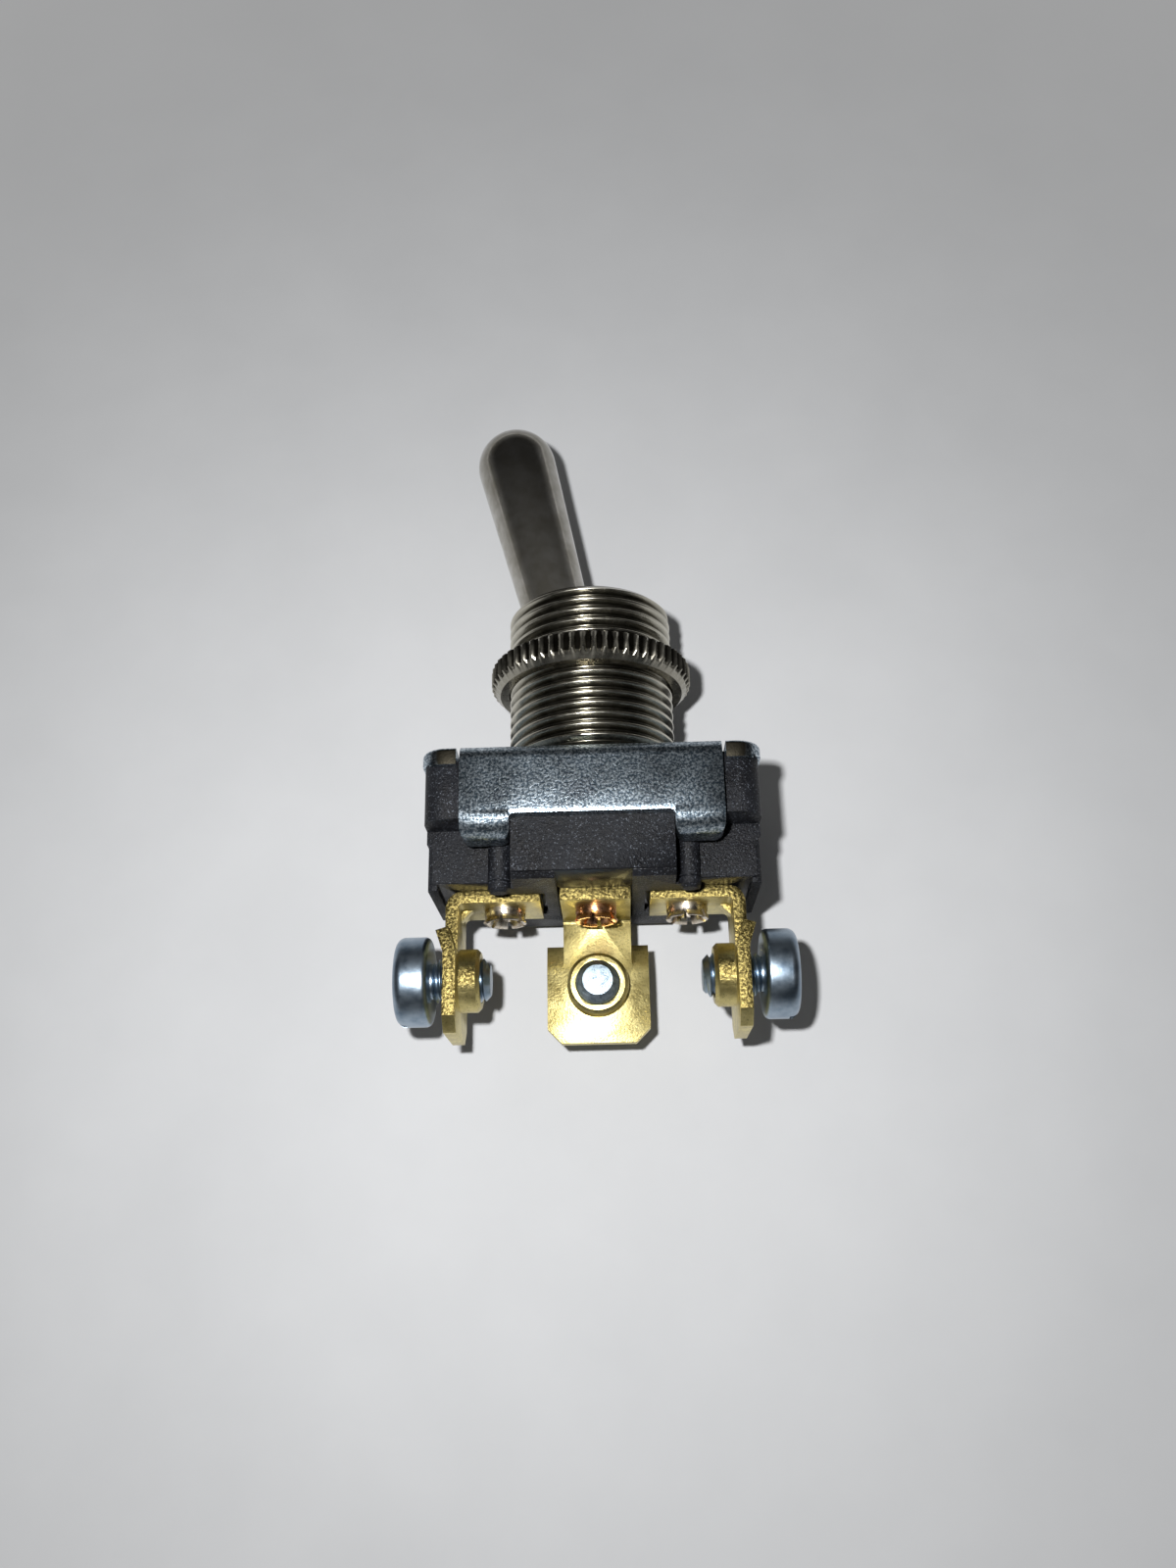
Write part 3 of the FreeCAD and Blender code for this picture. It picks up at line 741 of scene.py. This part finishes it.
@dataclass(frozen=True)
class PaleFloor:
    """Pale floor with a faint mottle, which runs into the backdrop far from the switch."""

    name: str = "pale_floor"
    light: Colour = (0.585, 0.592, 0.602)
    dark: Colour = (0.550, 0.557, 0.567)
    black: Colour = (0.0, 0.0, 0.0)
    rough: float = 0.75
    specular: float = 0.2
    spot: float = 14.0
    middle_y: float = -10.0
    fade: Span = (42.0, 210.0)

    def material(self) -> Material:
        """Material of the floor."""
        surface = Surface(self.name, self.rough, metallic=0.0, specular=self.specular)
        near, away = self.fade
        cloud = surface.noise(self.spot, 5.0, 0.6)
        colour = surface.mottle(cloud, self.dark, self.light)
        radius = surface.length(surface.spread((1, 1, 0), (0, -self.middle_y * MM, 0)))
        far = surface.remap(radius, (near * MM, away * MM))
        path = surface.node("ShaderNodeLightPath").outputs
        seen = surface.calc("MAXIMUM", path["Is Camera Ray"], path["Is Glossy Ray"])
        seen = surface.calc("MAXIMUM", seen, path["Is Transmission Ray"])
        surface.shader.inputs["Emission Color"].default_value = (BACKDROP, BACKDROP, BACKDROP, 1.0)
        surface.wire("Emission Strength", surface.times(far, seen))
        return surface.finish(surface.blend(far, colour, self.black))


class Finishes:
    """All finishes of the part, each made once."""

    def __init__(self) -> None:
        """Make the materials."""
        # the knurl's near-black dark colour is painted shade in the grooves between its teeth
        knurl = NickelPlate(
            "knurl_nickel", 7.05, 7.25, plain_below=-1.45, bright=(0.50, 0.475, 0.40),
            dark=(0.05, 0.045, 0.035), rough=(0.22, 0.34),
        )
        screw = PlatedFastener(
            "zinc_screw", (0.37, 0.45, 0.53), (0.20, 0.27, 0.35), rough=(0.29, 0.36), mark=0.6
        )
        tip = PlatedFastener(
            "zinc_screw_centre", (0.44, 0.53, 0.59), (0.20, 0.26, 0.32), rough=(0.30, 0.40), mark=0.16,
            relief=0.02,
        )
        steel = PlatedFastener("spring_steel", (0.62, 0.62, 0.62), (0.36, 0.35, 0.34), mark=0.15)
        self.moulding = GritMoulding().material()
        self.zinc_sheet = SparkleZinc().material()
        self.thread_nickel = NickelPlate("thread_nickel", 5.62, 5.90).material()
        self.knurl_nickel = knurl.material()
        self.lever_nickel = MirrorNickel().material()
        self.side_brass = RolledBrass("side_brass", Way.PLUS_Z).material()
        self.middle_brass = RolledBrass("middle_brass", Way.PLUS_X, end_above=-18.3).material()
        self.inner_brass = RolledBrass("inner_brass", Way.PLUS_X).material()
        self.tin = PlatedFastener("rivet_tin", (0.74, 0.68, 0.58), (0.42, 0.34, 0.25)).material()
        self.copper = PlatedFastener("rivet_copper", (0.62, 0.33, 0.18), (0.34, 0.15, 0.07)).material()
        self.zinc_screw = screw.material()
        self.zinc_tip = tip.material()
        self.silver = PlatedFastener("contact_silver", (0.90, 0.88, 0.84), (0.62, 0.59, 0.54)).material()
        self.steel = steel.material()
        self.fibre = PlainMoulding("fibre", (0.30, 0.20, 0.12), (0.20, 0.12, 0.07)).material()
        self.cream = PlainMoulding("plunger_moulding", (0.62, 0.55, 0.42), (0.52, 0.45, 0.33)).material()
        self.floor = PaleFloor().material()


# Sub-assemblies


@dataclass
class Assembly:
    """What every sub-assembly shares: its finishes and how its pieces join the frame."""

    finishes: Finishes

    def keep(self, node: str, finish: Material) -> None:
        """Give a CAD node that stays its finish."""
        materials = frame["nodes"][node].data.materials
        materials.clear()
        materials.append(finish)
        log.info("%s: kept from the frame, %s", node, finish.name)

    def fit(self, piece: Object, finish: Material, body: Body, slot: Slot, *nodes: str) -> None:
        """Dress a new piece and let it ride in place of CAD nodes.

        Args:
            piece: the new piece.
            finish: its material.
            body: the body it rides on.
            slot: the record's slot that its finish belongs to; not used.
            nodes: the CAD nodes that it stands for.
        """
        piece.data.materials.clear()
        piece.data.materials.append(finish)
        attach(piece, body.value)
        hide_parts(*nodes)
        log.info("%s: %d faces, %s", piece.name, len(piece.data.polygons), finish.name)


@dataclass
class Housing(Assembly):
    """Moulded case, folded bracket and insulator."""

    case_edge: float = 0.10
    bracket_edge: float = 0.05
    ear_inside: float = 8.7
    ear_bottom: float = -14.7
    ear_end: float = -13.5
    zone_face: float = 4.2
    past_side: float = 12.5
    past_face: float = 9.0

    def ear_trims(self) -> list[Object]:
        """Blocks that end the case's four ears a little above their CAD length."""
        trims = []
        for side, face in ((-1, -1), (-1, 1), (1, -1), (1, 1)):
            across = sorted((side * self.ear_inside, side * self.past_side))
            deep = sorted((face * self.zone_face, face * self.past_face))
            low = (across[0], self.ear_bottom - 0.05, deep[0])
            trims.append(block("ear_trim", low, (across[1], self.ear_end, deep[1])))
        return trims

    def build(self) -> None:
        """Make the pieces."""
        case = softened("case", self.case_edge, cutters=self.ear_trims())
        self.fit(case, self.finishes.moulding, Body.HOUSING, Slot.MOULDING, "case")
        bracket = softened("bracket", self.bracket_edge)
        self.fit(bracket, self.finishes.zinc_sheet, Body.HOUSING, Slot.ZINC_SHEET, "bracket")
        self.keep("insulator_sheet", self.finishes.fibre)


@dataclass
class Stem(Assembly):
    """Threaded bushing and the knurled ring nut on it."""

    crest: float = 5.945
    outside: float = 5.953
    pitch: float = 0.79375
    thread_shift: float = -0.31
    base: float = -8.6
    top: float = 4.2
    top_bevel: float = 0.4
    runout: float = 5.446
    runout_height: float = 0.75
    mouth: float = 5.0
    throat: float = 3.096
    bore: float = 3.75
    neck: float = 4.94
    swage: float = 5.595
    swage_thickness: float = 0.5
    swage_bevel: float = 0.15
    lip: float = 0.06
    sheet: float = 0.85
    pivot: float = -5.7
    slot_half: float = 0.85
    slot_reach: float = 5.0
    thread_steps: int = 96
    seat_steps: int = 10
    overlap: float = 0.5
    nut_face: float = -0.1
    nut_height: float = 1.95
    nut_radius: float = 7.29
    nut_small: float = 6.65
    nut_bore: float = 6.003
    nut_bevel: float = 0.17
    nut_bore_bevel: float = 0.15
    knurl_depth: float = 0.3
    teeth: int = 58
    tooth_steps: int = 6
    tooth_heights: tuple[float, ...] = (1.0, 0.72, 0.0, 0.0)

    def blank(self) -> Object:
        """Bushing before its thread is cut, with the ball's seat and the swaged foot."""
        seat_angle = math.degrees(math.acos(self.throat / self.bore))
        plate = self.base - self.sheet
        foot = plate - self.swage_thickness
        shoulder = self.base + self.runout_height
        rim = self.outside - self.top_bevel
        seat = arc((0.0, self.pivot), self.bore, seat_angle, 0.0, self.seat_steps)
        profile = seat + [
            (self.bore, foot),
            (self.swage - self.swage_bevel, foot),
            (self.swage, foot + self.swage_bevel),
            (self.swage, plate),
            (self.neck, plate),
            (self.neck, self.base),
            (self.runout, self.base),
            (self.runout, shoulder),
            (self.outside, shoulder + self.outside - self.runout),
            (self.outside, self.top - self.top_bevel),
            (rim, self.top - 0.04),
            (rim - self.lip, self.top),
            (self.mouth + self.lip, self.top),
            (self.mouth, self.top - 0.05),
            seat[0],
        ]
        return turned("bushing_threaded", profile, self.thread_steps, joined=True)

    def bushing(self) -> Object:
        """Bushing with a real helical thread, cut for the lever's pivot pin."""
        piece = self.blank()
        low = self.base - self.sheet - self.swage_thickness - self.overlap
        high = self.top + self.overlap
        rod = thread_rod("thread", self.crest, self.pitch, low + self.thread_shift, high, self.thread_steps)
        cut(piece, rod, "INTERSECT")
        corner = (self.slot_half, self.pivot + self.slot_half, self.slot_reach)
        slot = block("pin_slot", (-self.slot_half, low - self.overlap, -self.slot_reach), corner)
        cut(piece, slot)
        return smooth(piece, 24.0)

    def ring_nut(self) -> Object:
        """Ring with a plain taper below and rounded teeth round its band."""
        low = self.nut_face - self.nut_height
        valley = self.nut_radius - self.knurl_depth
        band_low = low + self.nut_radius - self.nut_small
        band_high = self.nut_face - self.nut_bevel
        profile = [
            (self.nut_bore, low),
            (self.nut_small, low),
            (valley, band_low - self.knurl_depth),
            (valley, band_low),
            (valley, band_high),
            (valley - SLACK, self.nut_face),
            (self.nut_bore + self.nut_bore_bevel, self.nut_face),
            (self.nut_bore, self.nut_face - self.nut_bore_bevel),
            (self.nut_bore, low),
        ]
        piece = turned("ring_nut_knurled", profile, self.tooth_steps * self.teeth, joined=True)
        self.raise_teeth(piece, valley, (band_low, band_high), self.nut_radius)
        self.raise_teeth(piece, valley, (self.nut_face, self.nut_face), self.nut_radius - self.nut_bevel)
        return smooth(piece, 38.0)

    def raise_teeth(self, piece: Object, valley: float, heights: Span, crest: float) -> None:
        """Scale the rings of a plain band out into teeth.

        Args:
            piece: the ring.
            valley: radius of the plain band.
            heights: lowest and highest height of the rings to scale.
            crest: radius of the teeth's crests.
        """
        step = math.tau / self.teeth

        def on_tooth(point: Vector, place: int) -> bool:
            """Whether a point of the band lies at a place between crest and valley."""
            turn = math.atan2(point.z, point.x) / step
            near = abs(abs(turn - round(turn)) * self.tooth_steps - place) < 10 * SLACK
            in_band = heights[0] - SLACK < point.y / MM < heights[1] + SLACK
            return near and in_band and abs(math.hypot(point.x, point.z) / MM - valley) < 2 * SLACK

        for place, share in enumerate(self.tooth_heights):
            open_mesh(piece)
            choose(piece, lambda point: on_tooth(point, place))
            ratio = 1 + share * (crest - valley) / valley
            bpy.ops.transform.resize(value=(ratio, 1, ratio), center_override=(0, 0, 0))
            close_mesh()

    def build(self) -> None:
        """Make the pieces."""
        self.fit(self.bushing(), self.finishes.thread_nickel, Body.HOUSING, Slot.NICKEL, "bushing")
        self.fit(self.ring_nut(), self.finishes.knurl_nickel, Body.NUT, Slot.NICKEL, "ring_nut")


@dataclass
class Toggle(Assembly):
    """Bat lever with its pin, plunger and spring."""

    pivot: float = -5.7
    lean: float = 13.0
    ball: float = 3.7
    neck: float = 1.95
    shank: float = 2.3
    shank_at: float = 6.0
    bat: float = 3.02
    reach: float = 27.045
    tail: float = 2.2
    tail_reach: float = 4.4
    bore: float = 1.55
    bore_top: float = 1.05
    sides: int = 96
    ball_steps: int = 32
    swell_steps: int = 16
    tip_steps: int = 13
    tip_gap: float = 6.0

    def lever(self) -> Object:
        """Lever turned upright, from the bore of its tail to the round tip, then leaned."""
        tail_angle = -math.degrees(math.acos(self.tail / self.ball))
        neck_angle = math.degrees(math.acos(self.neck / self.ball))
        tip = self.reach - self.bat
        swell = []
        for i in range(self.swell_steps + 1):
            share = i / self.swell_steps
            radius = self.shank + (self.bat - self.shank) * share
            swell.append((radius, self.shank_at + (tip - self.shank_at) * share))
        profile = [
            (self.bore, -self.bore_top),
            (self.bore, -self.tail_reach),
            (self.tail, -self.tail_reach),
        ]
        profile += arc((0.0, 0.0), self.ball, tail_angle, neck_angle, self.ball_steps)
        profile += [(self.neck + 0.02, self.shank_at - 2.0), (self.shank - 0.05, self.shank_at - 0.9)]
        profile += swell + arc((0.0, tip), self.bat, self.tip_gap, 90.0 - self.tip_gap, self.tip_steps)
        profile.append((0.0, self.reach))
        piece = turned("lever_polished", profile, self.sides)
        lean = Matrix.Rotation(math.radians(self.lean), 4, "Z")
        piece.data.transform(Matrix.Translation((0, self.pivot * MM, 0)) @ lean)
        return smooth(piece, 40.0)

    def build(self) -> None:
        """Make the pieces."""
        self.fit(self.lever(), self.finishes.lever_nickel, Body.TOGGLE, Slot.LEVER_NICKEL, "lever")
        self.keep("pivot_pin", self.finishes.steel)
        self.keep("plunger", self.finishes.cream)
        self.keep("plunger_spring", self.finishes.steel)


@dataclass
class Contacts(Assembly):
    """Rocker, saddle and contacts inside the case."""

    def build(self) -> None:
        """Dress the pieces."""
        self.keep("contact_rocker", self.finishes.inner_brass)
        self.keep("rocker_saddle", self.finishes.inner_brass)
        for side in ("left", "right"):
            self.keep("moving_contact_" + side, self.finishes.silver)
            self.keep("fixed_contact_" + side, self.finishes.silver)


@dataclass
class Terminals(Assembly):
    """Brass terminals and the rivets that hold them."""

    edge: float = 0.09
    rivet_x: float = 6.3
    seat: float = -15.6
    middle_seat: float = -15.0
    head_radius: float = 1.48
    head_height: float = 0.48
    head_bevel: float = 0.12
    shank: float = 1.1
    plate: float = -18.05
    barrel: float = 1.42
    flare: float = 1.49
    length: float = 0.95
    barrel_end: Profile = ((0.0, -0.34), (-0.05, -0.46))  # out from the barrel, up from the plate
    funnel: Profile = (  # out from the flare, up from the rivet's end
        (-0.10, 0.26), (-0.02, 0.14), (0.0, 0.08), (-0.05, 0.01), (-0.14, 0.0),
        (-0.26, 0.03), (-0.44, 0.16), (-0.66, 0.42), (-0.80, 0.80),
    )
    bore: float = 0.3
    bore_depth: float = 0.9
    slit: float = 0.24
    slit_depth: float = 0.5
    slit_reach: float = 2.0
    slit_flare: float = 2.4
    slit_turn: float = 0.35
    slits: int = 3

    def rivet(self, name: str, x: float, seat: float) -> Object:
        """Tubular rivet whose outer end is split into six petals round a funnel.

        Args:
            name: name of the piece.
            x: place along the case.
            seat: height of its head's seat.

        Returns:
            The piece.
        """
        end = self.plate - self.length
        head = seat + self.head_height
        profile = [
            (self.head_radius - self.head_bevel, head),
            (self.head_radius, head - self.head_bevel),
            (self.head_radius, seat),
            (self.shank, seat),
            (self.shank, self.plate),
            (self.barrel, self.plate),
        ]
        profile += [(self.barrel + out, self.plate + up) for out, up in self.barrel_end]
        profile += [(self.flare + out, end + up) for out, up in self.funnel]
        profile += [(self.bore, end + self.bore_depth), (0.0, end + self.bore_depth)]
        piece = turned(name, profile, 48)
        half = self.slit / 2
        for i in range(self.slits):
            corner = (self.slit_reach, end + self.slit_depth, half)
            tool = block("slit", (-self.slit_reach, end - 1.0, -half), corner)
            open_mesh(tool)
            for side in (-1, 1):
                choose(tool, lambda point: point.x * side > 0 and point.y < end * MM)
                bpy.ops.transform.resize(value=(1, 1, self.slit_flare), center_override=(0, 0, 0))
            close_mesh()
            tool.data.transform(Matrix.Rotation(math.pi * (i + self.slit_turn) / self.slits, 4, "Y"))
            cut(piece, tool)
        piece.data.transform(Matrix.Translation((x * MM, 0, 0)))
        return smooth(piece, 35.0)

    def build(self) -> None:
        """Make the pieces."""
        tinned = (self.finishes.side_brass, self.finishes.tin, Slot.RIVET_TIN)
        copper = (self.finishes.middle_brass, self.finishes.copper, Slot.RIVET_COPPER)
        for place, x, seat, (brass, plating, slot) in (
            ("left", -self.rivet_x, self.seat, tinned),
            ("centre", 0.0, self.middle_seat, copper),
            ("right", self.rivet_x, self.seat, tinned),
        ):
            terminal = softened("terminal_" + place, self.edge)
            self.fit(terminal, brass, Body.HOUSING, Slot.BRASS, "terminal_" + place)
            rivet = self.rivet("split_rivet_" + place, x, seat)
            self.fit(rivet, plating, Body.HOUSING, slot, "rivet_" + place)


@dataclass
class ClampScrews(Assembly):
    """Three clamp screws, made once and copied to their terminals."""

    radius: float = 1.5
    pitch: float = 0.5
    length: float = 4.1
    tip_bevel: float = 0.4
    head_radius: float = 3.05
    head_height: float = 2.45
    head_round: float = 0.62
    under_round: float = 0.4
    dome: Profile = ((0.72, 0.045), (0.4, 0.012), (0.1, 0.0), (0.0, 0.0))  # share of the rim, drop
    slot_width: float = 0.8
    slot_depth: float = 0.8
    slot_reach: float = 4.0
    cross: float = 3.4
    collar_y: float = -22.9
    tab_x: float = 10.15
    tab_z: float = 3.85
    left_gap: float = 1.15
    centre_gap: float = 0.7
    right_gap: float = 1.05
    steps: int = 48
    overlap: float = 0.5

    def head(self) -> Object:
        """Round head with a domed top and a crossed slot; its seat lies at height 0."""
        low = -self.head_height
        rim = self.head_radius - self.head_round
        under = self.head_radius - self.under_round
        profile = [(self.radius - 0.35, 0.35), (self.radius - 0.3, 0.0), (under, 0.0)]
        profile += arc((under, -self.under_round), self.under_round, 90.0, 0.0, 6)[1:]
        profile += arc((rim, low + self.head_round + 0.12), self.head_round, 0.0, -76.0, 9)
        profile += [(rim * share, low + drop) for share, drop in self.dome]
        piece = turned("screw_head", profile, 64)
        half, end, floor = self.slot_width / 2, low - 1.0, low + self.slot_depth
        cut(piece, block("slot", (-self.slot_reach, end, -half), (self.slot_reach, floor, half)))
        cut(piece, block("cross", (-half, end, -self.cross / 2), (half, floor, self.cross / 2)))
        return piece

    def shank(self) -> Object:
        """Threaded shank with a bevelled tip."""
        outside, tip = self.radius + 0.01, self.radius - self.tip_bevel
        profile = [
            (self.radius - 0.33, 0.1),
            (outside, 0.45),
            (outside, self.length - self.tip_bevel - 0.1),
            (tip, self.length - 0.10),
            (tip - 0.06, self.length - 0.05),
            (0.7, self.length - 0.015),
            (0.0, self.length),
        ]
        blank = turned("screw_shank", profile, self.steps)
        low, high = -self.overlap, self.length + self.overlap
        rod = thread_rod("screw_thread", self.radius - 0.005, self.pitch, low, high, self.steps)
        return cut(blank, rod, "INTERSECT")

    def screw(self) -> Object:
        """Head and shank joined."""
        head = self.head()
        shank = self.shank()
        pick(head)
        shank.select_set(True)
        bpy.ops.object.join()
        return smooth(head, 30.0)

    def build(self) -> None:
        """Make the pieces."""
        pattern = self.screw()
        y_up = Vector((0, 1, 0))
        places = {
            "left": (Way.PLUS_X, (-self.tab_x - self.left_gap, self.collar_y, 0.0), Body.LEFT_CLAMP),
            "centre": (Way.PLUS_Z, (0.0, self.collar_y, -self.tab_z - self.centre_gap), Body.CENTRE_CLAMP),
            "right": (Way.MINUS_X, (self.tab_x + self.right_gap, self.collar_y, 0.0), Body.RIGHT_CLAMP),
        }
        for place, (way, seat, body) in places.items():
            turn = y_up.rotation_difference(Vector(way.value)).to_matrix().to_4x4()
            matrix = Matrix.Translation(Vector(seat) * MM) @ turn
            screw = duplicate(pattern, "clamp_screw_" + place)
            screw.data.name = screw.name
            screw.data.transform(matrix)
            zinc = self.finishes.zinc_tip if place == "centre" else self.finishes.zinc_screw
            self.fit(screw, zinc, body, Slot.ZINC_SCREW, "screw_" + place)
        bpy.data.objects.remove(pattern, do_unlink=True)


# Studio


@dataclass
class Studio:
    """Floor, light and camera."""

    floor_material: Material
    floor_z: float = -7.81
    floor_size: float = 2400.0
    focal_pixels: float = 1350.0
    elevation: float = 70.07
    roll: float = 1.11
    tilt: float = -1.58
    centre: tuple[float, float] = (-0.36, -0.50)
    distance: float = 95.18
    frame_shift: float = 8.3
    lamp_place: Point = (-9.0, -31.0, 89.0)
    lamp_aim: Point = (0.0, 5.0, -8.0)
    lamp_size: float = 3.6
    lamp_watts: float = 0.118
    zenith: float = 0.025
    horizon: float = 0.13
    rise: Span = (0.05, 0.4)
    ambient: float = 0.12

    def floor(self) -> None:
        """Pale floor under the switch."""
        deselect_all()
        bpy.ops.mesh.primitive_plane_add(size=self.floor_size * MM, location=(0, 0, self.floor_z * MM))
        plane = new_piece("floor")
        plane.data.materials.append(self.floor_material)

    def stand(self, data: bpy.types.ID, matrix: Matrix) -> Object:
        """Object for a lamp or a camera, at its place in the scene."""
        item = bpy.data.objects.new(data.name, data)
        item.matrix_world = matrix
        bpy.context.scene.collection.objects.link(item)
        return item

    def camera(self) -> None:
        """Camera at the photograph's viewing angle."""
        e, roll, tilt = (math.radians(a) for a in (self.elevation, self.roll, self.tilt))
        base = Matrix(((1, 0, 0), (0, math.sin(e), math.cos(e)), (0, -math.cos(e), math.sin(e))))
        rows = base @ Matrix.Rotation(tilt, 3, "Y") @ Matrix.Rotation(roll, 3, "Z")
        eye = rows.transposed() @ Vector((*self.centre, self.distance))
        eye.y -= self.frame_shift
        lens = bpy.data.cameras.new("camera")
        lens.sensor_width = SENSOR_WIDTH
        lens.lens = self.focal_pixels * SENSOR_WIDTH / FRAME_HEIGHT
        lens.clip_start = 1 * MM
        matrix = Matrix.Translation(eye * MM) @ rows.transposed().to_4x4()
        bpy.context.scene.camera = self.stand(lens, matrix)

    def lamp(self) -> None:
        """Soft lamp near the camera, to its upper left."""
        light = bpy.data.lights.new("lamp", "AREA")
        light.size = self.lamp_size * MM
        light.energy = self.lamp_watts
        place = Vector(self.lamp_place) * MM
        turn = (place - Vector(self.lamp_aim) * MM).to_track_quat("Z", "Y").to_matrix().to_4x4()
        self.stand(light, Matrix.Translation(place) @ turn)

    def world(self) -> None:
        """Even soft light, with a room in the reflections that is pale low down and dark above."""
        world = bpy.data.worlds.new("studio")
        bpy.context.scene.world = world
        world.use_nodes = True
        world.cycles.sampling_method = "NONE"
        tree = world.node_tree
        background = tree.nodes["Background"]
        source, split, room, path, lit, seen = (tree.nodes.new("ShaderNode" + kind) for kind in (
            "TexCoord", "SeparateXYZ", "MapRange", "LightPath", "Mix", "Mix",
        ))
        room.interpolation_type = "SMOOTHSTEP"
        low, high = self.rise
        for number, value in enumerate((low, high, self.horizon, self.zenith), start=1):
            room.inputs[number].default_value = value
        lit.inputs[2].default_value = self.ambient
        seen.inputs[3].default_value = BACKDROP
        for output, socket in (
            (source.outputs["Generated"], split.inputs[0]),
            (split.outputs[2], room.inputs["Value"]),
            (path.outputs["Is Glossy Ray"], lit.inputs[0]),
            (room.outputs[0], lit.inputs[3]),
            (path.outputs["Is Camera Ray"], seen.inputs[0]),
            (lit.outputs[0], seen.inputs[2]),
            (seen.outputs[0], background.inputs["Color"]),
        ):
            tree.links.new(output, socket)

    def build(self) -> None:
        """Set the stage."""
        self.floor()
        self.camera()
        self.lamp()
        self.world()
        bpy.context.scene.view_settings.view_transform = "Standard"
        log.info("studio: floor, lamp, world and camera")


def main() -> None:
    """Build and dress the switch."""
    logging.basicConfig(level=logging.INFO, format="%(message)s")
    finishes = Finishes()
    for assembly in (Housing, Stem, Toggle, Contacts, Terminals, ClampScrews):
        assembly(finishes).build()
    Studio(finishes.floor).build()
    deselect_all()


if __name__ == "__main__":
    main()
